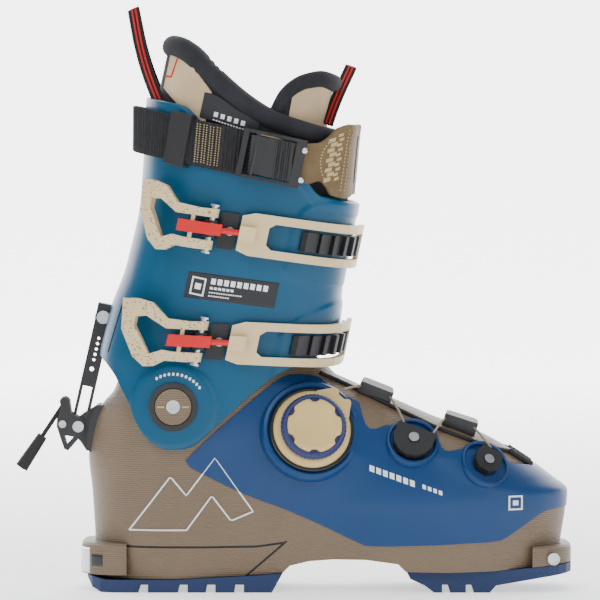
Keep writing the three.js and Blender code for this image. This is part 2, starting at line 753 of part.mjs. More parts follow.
// How far the strap stands off behind the cuff, and how far it draws in over the tongue in front.
const strapSlack = curve([
  [-100, 3.5],
  [-88, 3.5],
  [-56, 0],
  [56, 0],
  [84, -7],
  [132, -7],
  [158, 0],
]);
const strapAt = (s, t, n) => [...strapPath(s, n + strapSlack(s)), t];
const flat = (s0, s1, t0, t1) => [[s0, t0], [s1, t0], [s1, t1], [s0, t1]];
const CAM_S = 1.5;
const webbing = bentPlate(strapAt, flat(-196, CAM_S - 0.5, STRAP_LOW, STRAP_HIGH), 2, 4.4);
place("strap_webbing", webbing, MATERIAL.webbing, cuffFrame);
const panelOutline = [
  [20, 153],
  [42, 154],
  [52, 150.5],
  [150, 150.5],
  [190, 152],
  [190, 178],
  [150, 196],
  [55, 196],
  [42, 184],
  [20, 178],
];
place("strap_panel", bentPlate(strapAt, panelOutline, 2, 4.4), MATERIAL.taupe, cuffFrame);
const keeper = cut(
  bentPlate(strapAt, flat(-52, -38, STRAP_LOW - 2.4, STRAP_HIGH + 2.4), 1.2, 6.6),
  bentPlate(strapAt, flat(-56, -34, STRAP_LOW - GAP, STRAP_HIGH + GAP), 1.2 + 0.5, 4.4 + GAP),
);
place("strap_keeper", keeper, MATERIAL.rubber, cuffFrame);
const CAM_N = 8.4;
const CAM_T = (STRAP_LOW + STRAP_HIGH) / 2;
const camEnd = (rise) => strapAt(CAM_S, CAM_T + rise, CAM_N);
const camPin = (radius, half) => rod(camEnd(-half), camEnd(half), radius, 16);
const camPlate = (from, to, low, high, n0, n1) =>
  bentPlate(strapAt, flat(CAM_S + from, CAM_S + to, low, high), n0, n1);
const camFrame = cut(
  join(
    camPlate(-9, 30, STRAP_LOW - 0.5, STRAP_HIGH + 1.5, 5, 7),
    camPlate(-5, 6, STRAP_LOW - 0.5, STRAP_LOW + 1.5, 5, 11),
    camPlate(-5, 6, STRAP_HIGH - 0.5, STRAP_HIGH + 1.5, 5, 11),
  ),
  camPlate(-5.5, 24, STRAP_LOW + 1.5, STRAP_HIGH - 0.5, 4, 12),
);
place("strap_cam_frame", join(camFrame, camPin(1.5, 14.8)), MATERIAL.blackSteel, cuffFrame);
const CAM_OUTLINE = [
  [-3.5, 6.6], [-0.5, 5.6], [3.5, 6.2], [19, 7.6], [20, 9.4], [13, 10.6], [-0.5, 11], [-3.5, 10],
];
const camOutline = CAM_OUTLINE.map(([s, n]) => [CAM_S + s, n]);
const camLever = cut(bentBar(strapAt, camOutline, STRAP_LOW + 2.2, STRAP_HIGH - 1.2), camPin(1.7, 20));
place("strap_cam_lever", camLever, MATERIAL.black, cuffFrame);

// ---- liner, shaft part: tongue in front, padded collar on top ----
const linerTop = [
  [-64, 214],
  [-57, 222],
  [-44, 226],
  [-25, 216],
  [-5, 202],
  [20, 191],
  [30, 206],
  [42, 221],
  [54, 225],
  [76, 216],
];
const tongueLean = curve([
  [138, 0],
  [150, 2],
  [163, 5],
  [180, 14],
  [195, 24],
  [212, 24],
  [225, 20.5],
]);
const COLLAR_WALL = LINER_WALL + 1;
const shaftLevels = [50, 78, 110, 138, 150, 163, 180, 187, 195, 212, 232];
const shaftWall = cut(
  cuffSolid(WALL + 1, shaftLevels, tongueLean),
  cuffSolid(WALL + 1 + COLLAR_WALL, [48, ...shaftLevels.slice(1, -1), 234], tongueLean),
);
const outsideRound = (radius) => rod([0, -80, 0], [0, 80, 0], radius, 40);
const shaft = shaftWall.intersect(prism([[-70, 40], [110, 40], [110, 200], ...[...linerTop].reverse()]));
const TONGUE_U = 36;
const inFront = (gap) => prism([[TONGUE_U + gap, 40], [120, 40], [120, 240], [TONGUE_U + gap, 240]]);
const tongue = cut(shaft.intersect(inFront(0)), outsideRound(LINER_SPLIT + 17));
const collar = cut(shaft, inFront(-GAP), outsideRound(LINER_SPLIT + 1.2));
place("liner_tongue", mainBody(tongue), MATERIAL.liner, cuffFrame);
place("liner_shaft", mainBody(collar), MATERIAL.liner, cuffFrame);

// ---- pull loops of webbing at the liner's back and front ----
function loop(name, foot, top, spread, width) {
  const across = [foot, top].map(([x, z]) => new THREE.Vector3(x, 0, z));
  const up = across[1].clone().sub(across[0]);
  const centre = (t, y) => across[0].clone().addScaledVector(up, t).setY(y);
  const route = [centre(0, -spread), centre(0.5, -spread * 0.85), centre(0.93, -spread * 0.55), centre(1, 0)];
  const mirrored = route.slice(0, -1).map((p) => p.clone().setY(-p.y));
  const path = new THREE.CatmullRomCurve3([...route, ...mirrored.reverse()]);
  const thick = 0.9;
  const frames = Array.from({ length: 13 }, (_, k) => {
    const point = path.getPoint(k / 12);
    const tangent = path.getTangent(k / 12);
    const side = new THREE.Vector3(up.z, 0, -up.x).normalize();
    const out = new THREE.Vector3().crossVectors(tangent, side).normalize();
    return [[-1, -1], [1, -1], [1, 1], [-1, 1]].map(([a, b]) =>
      point.clone().addScaledVector(side, (a * width) / 2).addScaledVector(out, b * thick),
    );
  });
  place(name, loft(frames), MATERIAL.webbing);
}
loop("rear_loop", [-15.6, 316], [-28, 368], 9, 8);
loop("front_loop", [99.6, 298], [111.5, 331], 9, 7.5);

// ---- walk-mode bar, its clevis on the cuff, and the latch on the heel ----
const LATCH_PIN = new THREE.Vector3(-61.5, 0, 103);
const BAR_HALF = 2;
const barAlong = LATCH_PIN.clone().sub(SPINE_PIVOT);
const barLength = barAlong.length();
const barTurn = Math.atan2(barAlong.x, -barAlong.z);
// An outline along the bar (0 at its pivot, down to its fork) pushed through y.
function alongBar(points, y0, y1) {
  const turned = points.map(([across, down]) => [
    SPINE_PIVOT.x + across * Math.cos(barTurn) + down * Math.sin(barTurn),
    SPINE_PIVOT.z + across * Math.sin(barTurn) - down * Math.cos(barTurn),
  ]);
  return prism(turned, y0, y1);
}
const across = ({ x, z }, half, radius, sides = 14) => rod([x, -half, z], [x, half, z], radius, sides);
const FORK_START = barLength - 26;
const FORK_END = barLength + 6;
const barPlate = alongBar(
  [
    [-3, -4],
    [3, -4],
    [5, -1.5],
    [5, FORK_END],
    [3, FORK_END],
    [3, FORK_START],
    [-3, FORK_START],
    [-3, FORK_END],
    [-5, FORK_END],
    [-5, -1.5],
  ],
  -BAR_HALF,
  BAR_HALF,
);
const barDown = new THREE.Vector3(Math.sin(barTurn), 0, -Math.cos(barTurn));
const BAR_HOLES = [[14, 1], [17.5, 1], [21, 1], [24.5, 1], [28, 1], [34, 1.5]]; // distance down the bar, radius
const onBar = (down) => SPINE_PIVOT.clone().addScaledVector(barDown, down);
const barHoles = BAR_HOLES.map(([down, radius]) => across(onBar(down), 5, radius, 10));
place("spine_bar", cut(barPlate, across(SPINE_PIVOT, 5, 3.1), ...barHoles), MATERIAL.blackSteel);
const { x: spineU, z: spineW } = spineLocal;
const clevisBlock = join(
  box([spineU - 5, -CLEVIS_HALF, spineW - 5], [spineU + 5, CLEVIS_HALF, spineW + 8.6]),
  across(spineLocal, CLEVIS_HALF, 5.4),
);
const clevis = cut(
  clevisBlock,
  box([spineU - 9, -BAR_HALF - GAP, spineW - 9], [spineU + 9, BAR_HALF + GAP, spineW + 6.4]),
  across(spineLocal, 9, 3.1),
);
place("spine_clevis", clevis, MATERIAL.black, cuffFrame);
// The two round heads at the ends of a cross pin.
const heads = ({ x, z }, low, high, radius, sides = 14) =>
  [-1, 1].map((side) => rod([x, side * low, z], [x, side * high, z], radius, sides));
place("spine_screw", join(across(SPINE_PIVOT, 7.4, 3), ...heads(SPINE_PIVOT, 6.5, 8, 4.2)), MATERIAL.steel);

const bracketOutline = [
  [-47, 118],
  [-50, 106],
  [-53.6, 96],
  [-56, 87],
  [-60, 93],
  [-66, 100.5],
  [-65, 106],
  [-58, 111.5],
];
const bracketFoot = [[-44, 117], [-46, 90], [-52, 86], [-56.5, 89], [-55.6, 98], [-54, 108], [-50, 117]];
const heelBackSolid = join(shellSolid(-GAP), box([-40, -80, 0], [60, 80, 150]));
const betweenPlates = box([-90, -2.6, 60], [-30, 2.6, 140]);
const bracketPlates = cut(prism(bracketOutline, -4.6, 4.6), betweenPlates, heelBackSolid);
const bracketBase = mainBody(cut(prism(bracketFoot, -11, 11), shellSolid(-GAP)));
const barSpace = box([-75, -2.6, 60], [-56.2, 2.6, 140]);
const bracket = cut(join(bracketPlates, bracketBase), across(LATCH_PIN, 12, 3.1), barSpace);
place("latch_bracket", mainBody(bracket), MATERIAL.blackSteel);
place("latch_pin", join(across(LATCH_PIN, 7.4, 2.3), ...heads(LATCH_PIN, 6.9, 8.2, 3.6)), MATERIAL.steel);

// The latch lever: two cheeks outside the bracket, joined behind the bar, with an eye for the pull.
const LOCK_PIN = new THREE.Vector3(-71.5, 0, 104.5);
const EYE = new THREE.Vector3(-70, 0, 118.5);
const CHEEK_HALF = 6.4;
const cheekOutline = [
  [-57.5, 107],
  [-61, 109],
  [-66, 112],
  [-67, 119.6],
  [-69, 121.8],
  [-72.2, 121],
  [-73, 114],
  [-75, 108.5],
  [-75.2, 103],
  [-73, 96],
  [-70.5, 88.8],
  [-68, 87.6],
  [-61, 95.5],
  [-58, 99],
];
const webOutline = [[-75.2, 103], [-73, 96], [-70.5, 88.8], [-69.6, 89.2], [-71.6, 96.4], [-73.8, 103]];
const leverWindow = prism([[-70.6, 97.5], [-64.4, 96.4], [-69, 91.4]]);
const betweenCheeks = box([-90, -4.9, 60], [-30, 4.9, 140]);
const cheeks = cut(prism(cheekOutline, -CHEEK_HALF, CHEEK_HALF), betweenCheeks, leverWindow);
const web = prism(webOutline, -CHEEK_HALF, CHEEK_HALF);
const walkLever = cut(join(cheeks, web), across(LATCH_PIN, 12, 2.5), across(LOCK_PIN, 12, 1.9));
place("walk_lever", join(walkLever, across(EYE, 6, 1.6, 16)), MATERIAL.blackSteel);
place("lock_pin", join(across(LOCK_PIN, 7, 1.6, 16), ...heads(LOCK_PIN, 6.7, 7.5, 2.4, 16)), MATERIAL.steel);

// The moulded pull: an eye on the pull pin, a thin neck and a grip.
const PULL_END = new THREE.Vector3(-98, 0, 76.5);
const alongPull = (share) => EYE.clone().lerp(PULL_END, share);
const [neckStart, gripStart, neckEnd] = [0.065, 0.52, 0.57].map(alongPull);
const pullEye = cut(across(EYE, 2.4, 3.5, 16), across(EYE, 6, 1.9, 16));
const gripAxis = PULL_END.clone().sub(gripStart);
const gripGeometry = new THREE.CylinderGeometry(4.1, 3.2, gripAxis.length(), 20);
gripGeometry.applyQuaternion(new THREE.Quaternion().setFromUnitVectors(AXLE, gripAxis.clone().normalize()));
gripGeometry.translate(...gripStart.clone().add(PULL_END).divideScalar(2).toArray());
const neck = rod(neckStart.toArray(), neckEnd.toArray(), 1.4, 12);
place("pull_tab", join(pullEye, neck, solidOf(gripGeometry)), MATERIAL.rubber);

// ---- lace dial ----
const HUB_RADIUS = 6;
const HOUSING_RADIUS = 24.4;
const GRIP_RADIUS = 20.6;
const CAP_RADIUS = 17;
const dialBase = cut(
  dialDisc(DIAL_RADIUS, -DIAL_POCKET + GAP, 1.4),
  dialDisc(HOUSING_RADIUS + GAP, -1, 4),
  dialDisc(HUB_RADIUS + GAP, -5, 4, 16),
);
place("dial_base", dialBase, MATERIAL.black);
// The lug on the housing that the lace comes out of, leaning up and forward across the dial's face.
const lugWay = new THREE.Vector3(0.62, 0, 0.78);
lugWay.addScaledVector(DIAL_AXIS, -lugWay.dot(DIAL_AXIS)).normalize();
const lugAt = (distance) => DIAL_CENTRE.clone().addScaledVector(lugWay, distance).addScaledVector(DIAL_AXIS, 4);
const lug = rod(lugAt(12).toArray(), lugAt(32).toArray(), 2.6, 10);
const laceMouth = lugAt(33.2);
const housing = cut(join(dialDisc(HOUSING_RADIUS, -1 + GAP, 5.6), lug), dialDisc(HUB_RADIUS + GAP, -5, 20, 20));
place("dial_housing", housing, MATERIAL.cream);
place("dial_hub", dialDisc(HUB_RADIUS, -2.6, 12, 16), MATERIAL.steel);
place("dial_grip", cut(dialDisc(GRIP_RADIUS, 6.6, 15), dialDisc(CAP_RADIUS + GAP, 5, 17)), MATERIAL.rubber);
const NOTCHES = 6;
const notchWay = new THREE.Vector3(1, 0, 0).cross(DIAL_AXIS).normalize();
const capNotches = Array.from({ length: NOTCHES }, (_, k) => {
  const outward = notchWay.clone().applyAxisAngle(DIAL_AXIS, (2 * Math.PI * k) / NOTCHES);
  const centre = DIAL_CENTRE.clone().addScaledVector(outward, CAP_RADIUS + 2.5);
  const [low, high] = [14.4, 18].map((height) => centre.clone().addScaledVector(DIAL_AXIS, height).toArray());
  return rod(low, high, 3.4, 8);
});
const dialCap = cut(dialDisc(CAP_RADIUS, 6.6, 16.8), dialDisc(HUB_RADIUS + GAP, 5, 12.4, 16), ...capNotches);
place("dial_cap", dialCap, MATERIAL.cream);

// ---- lace guides and the lace ----
// The shell's outer surface at x and z on the lateral side, moved out along its normal.
function onShell(x, z, out) {
  const step = 0.5;
  const slopeX = (shellHalf(x + step, z) - shellHalf(x - step, z)) / (2 * step);
  const slopeZ = (shellHalf(x, z + step) - shellHalf(x, z - step)) / (2 * step);
  const normal = new THREE.Vector3(-slopeX, -1, -slopeZ).normalize();
  return { point: new THREE.Vector3(x, -shellHalf(x, z), z).addScaledVector(normal, out), normal };
}
// The height of the instep at x, a distance y off the middle.
function instepHeight(x, y) {
  let [low, high] = [60, 190];
  for (let i = 0; i < 40; i++) {
    const middle = (low + high) / 2;
    if (shellHalf(x, middle) > Math.abs(y)) low = middle;
    else high = middle;
  }
  return low;
}
// The directions along and up the shell at a spot on it, where along runs forward and down with the instep.
function tangents({ normal }) {
  const along = new THREE.Vector3(1, 0, -0.45);
  along.addScaledVector(normal, -along.dot(normal)).normalize();
  return { along, up: new THREE.Vector3().crossVectors(normal, along) };
}
// A point beside a spot on the shell: forward, up and out from it.
function near(spot, forward, rise, out) {
  const { along, up } = tangents(spot);
  const point = spot.point.clone().addScaledVector(spot.normal, out);
  return point.addScaledVector(along, forward).addScaledVector(up, rise);
}
// A block standing on the shell: an outline across its normal, from low to high.
function blockOn(spot, outline, low, high) {
  const { along, up } = tangents(spot);
  const geometry = new THREE.ExtrudeGeometry(shapeOf(outline), { depth: high - low, bevelEnabled: false });
  const frame = new THREE.Matrix4().makeBasis(along, up, spot.normal).setPosition(near(spot, 0, 0, low));
  return solidOf(geometry.applyMatrix4(frame));
}
const arc = (radius, from, to, steps = 7) =>
  Array.from({ length: steps }, (_, k) => {
    const angle = THREE.MathUtils.degToRad(from + ((to - from) * k) / (steps - 1));
    return [radius * Math.cos(angle), radius * Math.sin(angle)];
  });
const sideGuides = { rear: onShell(150, 96, 0), front: onShell(195.7, 81.5, 0) };
const onInstep = (x, y) => onShell(x, instepHeight(x, y), 0);
const instepGuides = { rear: onInstep(126.5, -17), front: onInstep(180, -16) };
const LACE_RADIUS = 0.75;
const overInstep = (guide, exit) => [
  near(guide, -9.5, -5, 4.2),
  near(guide, -6, -0.5, 4.2),
  near(guide, 5.5, -0.5, 4.2),
  near(guide, exit, -6, 4.2),
];
const laceRoute = [
  laceMouth,
  ...overInstep(instepGuides.rear, 9.5),
  near(sideGuides.rear, -8, 6, 4.2),
  near(sideGuides.rear, -7.2, -2.5, 4),
  near(sideGuides.rear, 0, -6.8, 4),
  near(sideGuides.rear, 7.2, -2.5, 4),
  near(sideGuides.rear, 9.5, 6, 4.2),
  ...overInstep(instepGuides.front, 9),
  near(sideGuides.front, 1.5, 8, 4),
  near(sideGuides.front, 1, 5.4, 3.6),
];
const lacePath = new THREE.CatmullRomCurve3(laceRoute, false, "centripetal");
function laceTube(radius, steps, sides) {
  const ring = shapeOf(arc(radius, 0, 360 - 360 / sides, sides));
  return solidOf(new THREE.ExtrudeGeometry(ring, { steps, bevelEnabled: false, extrudePath: lacePath }));
}
const laceChannel = laceTube(LACE_RADIUS + 0.45, 44, 4);
const OUTLINES = {
  rear: [[-12.6, 8], ...arc(13, 190, 350), [12.6, 8]],
  front: [[-6.5, 9.5], [-8.6, 2], [-8.2, -4], [-4.5, -8.4], [3, -8.8], [7.6, -4.5], [8.6, 3], [7, 9.5]],
};
const instepOutline = [[-11, -6.5], [11, -6.5], [10, 2.4], [8, 4.5], [-8, 4.5], [-10.4, 2.4]];
const GUIDE_SCREW_RADIUS = 3.3;
const overShell = shellSolid(-GAP);
for (const [where, outline] of Object.entries(OUTLINES)) {
  const spot = sideGuides[where];
  const heights = [2.5, 2.5 + GAP, 7, 9];
  const [seat, screwFoot, screwTop, above] = heights.map((out) => near(spot, 0, 0, out).toArray());
  const screwHole = rod(seat, above, GUIDE_SCREW_RADIUS + GAP, 18);
  const guide = cut(blockOn(spot, outline, -3, 6), overShell, laceChannel, screwHole);
  place(`side_guide_${where}`, mainBody(guide), MATERIAL.black);
  place(`guide_screw_${where}`, rod(screwFoot, screwTop, GUIDE_SCREW_RADIUS, 18), MATERIAL.steel);
  const instep = cut(blockOn(instepGuides[where], instepOutline, -3, 7.4), overShell, laceChannel);
  place(`instep_guide_${where}`, mainBody(instep), MATERIAL.black);
}
place("lace", laceTube(LACE_RADIUS, 44, 6), MATERIAL.cream);
place("forefoot_shell", mainBody(forefoot), MATERIAL.blue);
place("instep_flap", mainBody(flap), MATERIAL.taupe);

export default boot;
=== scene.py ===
"""Looks of an alpine touring ski boot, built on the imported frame. Lengths are in millimetres.

X points to the toe, Y to the inner side and Z up. The cuff's own frame leans forward round the ankle pivot:
u is forward, v inward and w up the leg.
"""

import math

import bmesh
import bpy
import numpy as np
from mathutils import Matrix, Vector


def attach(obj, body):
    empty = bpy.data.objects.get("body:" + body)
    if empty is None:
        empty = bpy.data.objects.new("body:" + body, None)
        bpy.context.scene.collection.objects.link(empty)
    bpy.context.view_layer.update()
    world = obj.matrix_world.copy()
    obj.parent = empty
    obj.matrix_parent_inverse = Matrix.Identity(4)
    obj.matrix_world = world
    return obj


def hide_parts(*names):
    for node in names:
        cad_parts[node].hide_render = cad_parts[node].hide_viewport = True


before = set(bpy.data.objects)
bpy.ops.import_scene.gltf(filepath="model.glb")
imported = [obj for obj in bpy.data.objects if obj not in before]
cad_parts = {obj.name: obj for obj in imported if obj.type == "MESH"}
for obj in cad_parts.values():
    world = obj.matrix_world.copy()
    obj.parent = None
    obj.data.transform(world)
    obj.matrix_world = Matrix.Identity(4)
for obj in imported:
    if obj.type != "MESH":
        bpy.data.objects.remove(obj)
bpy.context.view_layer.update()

PIVOT_Z = 118.4
LEAN = math.radians(12)
COS, SIN = math.cos(LEAN), math.sin(LEAN)
WALL = 4.2
HEEL_ROUND = 48
TOE_ROUND = 62
SOLE_HALF = 34.5
HEEL_END = -59
HEEL_BEND = 26
TOE_END = 251.5
TOE_BEND = 24
SIDES = ((-1, "outer"), (1, "inner"))


# ---- curves and surfaces ----
def monotone(xs, ys, x):
    """A smooth curve through the points that never overshoots them. ys may hold a row of values at each x."""
    xs, ys = np.asarray(xs, float), np.asarray(ys, float)
    widths = np.diff(xs)
    if ys.ndim > 1:
        widths = widths[:, None]
    slopes = np.diff(ys, axis=0) / widths
    tangents = np.concatenate([slopes, slopes[-1:]], axis=0)
    before, after = slopes[:-1], slopes[1:]
    total = np.where(np.abs(before + after) < 1e-12, 1, before + after)
    tangents[1:-1] = np.where(before * after <= 0, 0, 2 * before * after / total)
    x = np.clip(x, xs[0], xs[-1])
    i = np.clip(np.searchsorted(xs, x, side="right") - 1, 0, len(xs) - 2)
    width = xs[i + 1] - xs[i]
    t = (x - xs[i]) / width
    return (
        (2 * t**3 - 3 * t**2 + 1) * ys[i]
        + (t**3 - 2 * t**2 + t) * width * tangents[i]
        + (3 * t**2 - 2 * t**3) * ys[i + 1]
        + (t**3 - t**2) * width * tangents[i + 1]
    )


def curve(points):
    xs, ys = zip(*points)
    return lambda x: monotone(xs, ys, x)


heel_back = curve([
    (8, -50), (30, -50.8), (62, -52.7), (85, -55), (100, -53), (113, -49), (119, -45), (126, -39),
    (134, -36), (160, -30), (190, -24.5),
])
toe_front = curve([
    (8, 242), (29, 245), (62, 249), (70, 240), (79, 228), (91, 211), (101, 192), (109, 168), (121, 140),
    (130, 117), (136, 104), (142, 97.6), (150, 89), (165, 80), (190, 59),
])
WIDTH_X = [-60, -20, 0, 40, 90, 150, 200, 250]
WIDTH_LEVELS = [8, 30, 60, 85, 105, 125, 150, 190]
WIDTHS = [
    [30, 33, 33, 31, 33, 39, 36, 33],
    [34, 38, 38, 36, 39, 47, 43, 36],
    [36, 41.5, 42, 42, 46, 53, 48, 38],
    [36, 42, 43.5, 44, 48, 50, 42, 34],
    [35, 42, 45, 45, 46, 41, 33, 28],
    [34, 41, 45, 44, 41, 33, 28, 24],
    [32, 38, 42, 41, 36, 30, 26, 22],
    [30, 36, 40, 39, 34, 28, 24, 20],
]


def rounded(t, power):
    t = np.clip(t, 0, 1)
    return (1 - (1 - t) ** power) ** (1 / power)


def shell_half(x, z, inset=0.0):
    """Half the shell's width at x along the foot, at one height z."""
    rows = np.array([monotone(WIDTH_X, row, x) for row in WIDTHS])
    back = heel_back(z) + inset
    front = toe_front(z + 1.1 * inset) - inset
    ends = rounded((x - back) / HEEL_ROUND, 2.1) * rounded((front - x) / TOE_ROUND, 2.2)
    return (monotone(WIDTH_LEVELS, rows, z) - inset) * ends


def shell_ring(z, inset, steps):
    back = heel_back(z) + inset
    front = toe_front(z + 1.1 * inset) - inset
    turn = np.pi * np.arange(steps + 1) / steps
    x = back + (front - back) * (1 - np.cos(turn)) / 2
    half = shell_half(x, z, inset)
    half[0] = half[-1] = 0
    side = np.stack([x, -half, np.full_like(x, z)], axis=1)
    other = side[-2:0:-1] * [1, -1, 1]
    return np.concatenate([side, other])


def on_shell(x, z, out=0.0, side=-1):
    """A point on the shell's surface on the outer (-1) or inner (1) side, and its normal."""
    step = 0.5
    dx = (shell_half(x + step, z) - shell_half(x - step, z)) / (2 * step)
    dz = (shell_half(x, z + step) - shell_half(x, z - step)) / (2 * step)
    normal = Vector((-float(dx), side, -float(dz))).normalized()
    return Vector((x, side * float(shell_half(x, z)), z)) + normal * out, normal


cuff_back = curve([(-30, -50), (20, -52.5), (50, -51.5), (78, -47.5), (110, -46.5), (146, -50.5), (186, -56)])
cuff_front = curve([(-30, 93), (48, 93), (77, 91), (100, 88.5), (136, 87.5), (186, 85)])
cuff_half = curve([(-30, 50.6), (30, 50.6), (80, 52), (120, 54), (160, 56), (190, 57)])


def section(w, angle, inset=0.0, lean=None):
    """The cuff's section in its own frame: u and v at a height w and an angle from the front.
    lean gives how far the front lies further back at each height."""
    back, front = cuff_back(w) + inset, cuff_front(w) - inset
    a, b = (front - back) / 2, cuff_half(w) - inset
    c, s = np.cos(angle), np.sin(angle)
    r = ((np.abs(c) / a) ** 3 + (np.abs(s) / b) ** 3) ** (-1 / 3)
    u = (front + back) / 2 + r * c
    if lean is not None:
        u = u - lean(w) * np.clip(r * c, 0, None) / a
    return u, r * s


def leaned(points):
    """Points from the cuff's own frame to the boot's."""
    p = np.asarray(points, float)
    u, v, w = p[..., 0], p[..., 1], p[..., 2]
    return np.stack([u * COS + w * SIN, v, PIVOT_Z - u * SIN + w * COS], axis=-1)


def beside(u, w, out=0.0, side=-1, inset=0.0, lean=None):
    """A point on the cuff's side, or inset from it, at u and w, moved out."""
    u, w = np.broadcast_arrays(np.asarray(u, float), np.asarray(w, float))
    back = cuff_back(w) + inset - out
    front = cuff_front(w) - inset + out - (lean(w) if lean is not None else 0)
    share = np.clip(np.abs(2 * u - back - front) / (front - back), 0, 1)
    v = side * (cuff_half(w) - inset + out) * (1 - share**3) ** (1 / 3)
    return leaned(np.stack([u, v, w], axis=-1))


# Lengths round the cuff from the middle of its outer side, forward positive, for what is bent round it. They
# start a little past the middle of the inner side, so that the strap's ends can lie over each other there.
TURN = np.radians(np.linspace(-300, 90, 781))
cuff_loop = np.stack(section(165.0, TURN), axis=1)
loop_lengths = np.concatenate([[0], np.cumsum(np.linalg.norm(np.diff(cuff_loop, axis=0), axis=1))])
ALONG = loop_lengths - np.interp(-math.pi / 2, TURN, loop_lengths)
HALF_WAY = float(ALONG[-1])


def wrapped(s, t, n):
    """A point round the cuff at length s, height t and n out from its wall."""
    s, t, n = np.broadcast_arrays(np.asarray(s, float), np.asarray(t, float), np.asarray(n, float))
    u, v = section(t, np.interp(s, ALONG, TURN), -n)
    return leaned(np.stack([u, v, t], axis=-1))


# ---- meshes ----
def finish_mesh(name, vertices, faces, material, sharp=35.0):
    mesh = bpy.data.meshes.new(name)
    mesh.from_pydata([tuple(v) for v in np.asarray(vertices, float) * 0.001], [], [tuple(f) for f in faces])
    made = bpy.data.objects.new(name, mesh)
    bpy.context.scene.collection.objects.link(made)
    edit = bmesh.new()
    edit.from_mesh(mesh)
    bmesh.ops.recalc_face_normals(edit, faces=edit.faces)
    edit.to_mesh(mesh)
    edit.free()
    smooth(made, sharp)
    mesh.materials.append(material)
    return made


def smooth(piece, sharp=35.0):
    piece.data.polygons.foreach_set("use_smooth", [True] * len(piece.data.polygons))
    piece.data.set_sharp_from_angle(angle=math.radians(sharp))
    piece.data.update()


def grid_faces(rows, columns, wrap_rows=False):
    """Faces between rings of points, where each ring is closed and the last may join the first."""
    faces = []
    for r in range(rows if wrap_rows else rows - 1):
        for c in range(columns):
            r2, c2 = (r + 1) % rows, (c + 1) % columns
            faces.append((r * columns + c, r * columns + c2, r2 * columns + c2, r2 * columns + c))
    return faces


def loft(name, rings, material, sharp=35.0):
    """A closed solid through rings of equal length, with a fan over each end."""
    rings = np.asarray(rings, float)
    rows, columns = rings.shape[:2]
    points = np.concatenate([rings.reshape(-1, 3), rings[:1].mean(axis=1), rings[-1:].mean(axis=1)])
    faces = grid_faces(rows, columns)
    low, high, top = rows * columns, rows * columns + 1, (rows - 1) * columns
    for c in range(columns):
        c2 = (c + 1) % columns
        faces.append((low, c2, c))
        faces.append((high, top + c, top + c2))
    return finish_mesh(name, points, faces, material, sharp)


def closed_grid(name, rings, material, sharp=35.0):
    """A closed solid through rings of equal length, where the last ring joins the first."""
    rings = np.asarray(rings, float)
    rows, columns = rings.shape[:2]
    return finish_mesh(name, rings.reshape(-1, 3), grid_faces(rows, columns, True), material, sharp)


def pushed(name, points, material):
    """A solid between two equal outlines, given one after the other."""
    count = len(points) // 2
    faces = [tuple(range(count)), tuple(reversed(range(count, 2 * count)))]
    faces += [(i, (i + 1) % count, count + (i + 1) % count, count + i) for i in range(count)]
    return finish_mesh(name, points, faces, material, 30)


def prism(name, outline):
    """An outline in X and Z pushed through Y, past both sides of the boot."""
    return pushed(name, [(x, y, z) for y in (-90.0, 90.0) for x, z in outline], MAT["black"])


def plate(name, origin, along, up, outline, low, high, material):
    """An outline in the plane of along and up, pushed along their normal from low to high."""
    along, up = Vector(along).normalized(), Vector(up).normalized()
    normal = along.cross(up).normalized()
    points = [Vector(origin) + along * x + up * y + normal * h for h in (low, high) for x, y in outline]
    return pushed(name, points, material)


def tube(name, points, radius, material, sides=10, closed=False):
    """A round tube along points; radius may be one number or one for each point."""
    path = [Vector(p) for p in points]
    count = len(path)
    radii = np.broadcast_to(radius, count)
    side = None
    rings = []
    for i, p in enumerate(path):
        before = path[i - 1] if closed or i else p
        after = path[(i + 1) % count] if closed or i < count - 1 else p
        along = (after - before).normalized()
        if side is None:
            side = along.orthogonal().normalized()
        side = (side - along * side.dot(along)).normalized()
        other = along.cross(side)
        turn = 2 * np.pi * np.arange(sides) / sides
        rings.append([p + (side * math.cos(a) + other * math.sin(a)) * float(radii[i]) for a in turn])
    return closed_grid(name, rings, material) if closed else loft(name, rings, material)


def copy_of(piece):
    made = piece.copy()
    made.data = piece.data.copy()
    bpy.context.scene.collection.objects.link(made)
    return made


def boolean(piece, operation, *others):
    """Cuts, joins or intersects piece with others, which are used up."""
    for other in others:
        change = piece.modifiers.new("cut", "BOOLEAN")
        change.operation = operation
        change.solver = "MANIFOLD"
        change.object = other
        with bpy.context.temp_override(object=piece, active_object=piece):
            bpy.ops.object.modifier_apply(modifier=change.name)
        bpy.data.objects.remove(other)
    smooth(piece)
    return piece


def bevel(piece, width, segments, angle):
    rounding = piece.modifiers.new("rounding", "BEVEL")
    rounding.width = width * 0.001
    rounding.segments = segments
    rounding.limit_method = "ANGLE"
    rounding.angle_limit = math.radians(angle)
    rounding.harden_normals = True


def strip(name, at, across, low, high, n0, n1, material, rows=14, sharp=35.0):
    """A closed strip with softened edges. at(a, t, n) places its points, across gives the stations a, low and
    high its edges in t at each, and n0 and n1 its faces. n1 may be a function of a and t."""
    across = np.asarray(across, float)
    low, high = np.broadcast_to(low, across.shape), np.broadcast_to(high, across.shape)
    rings = []
    for a, lo, hi in zip(across, low, high):
        edge = min(0.35 * (hi - lo), 0.6)
        t = np.linspace(lo + edge, hi - edge, rows)
        top = n1(a, t) if callable(n1) else np.full(rows, float(n1))
        middle = (n0 + top[0]) / 2
        heights = np.concatenate([[lo], t, [hi], t[::-1]])
        outs = np.concatenate([[middle], top, [middle], np.full(rows, float(n0))])
        rings.append(at(a, heights, outs))
    return loft(name, rings, material, sharp)


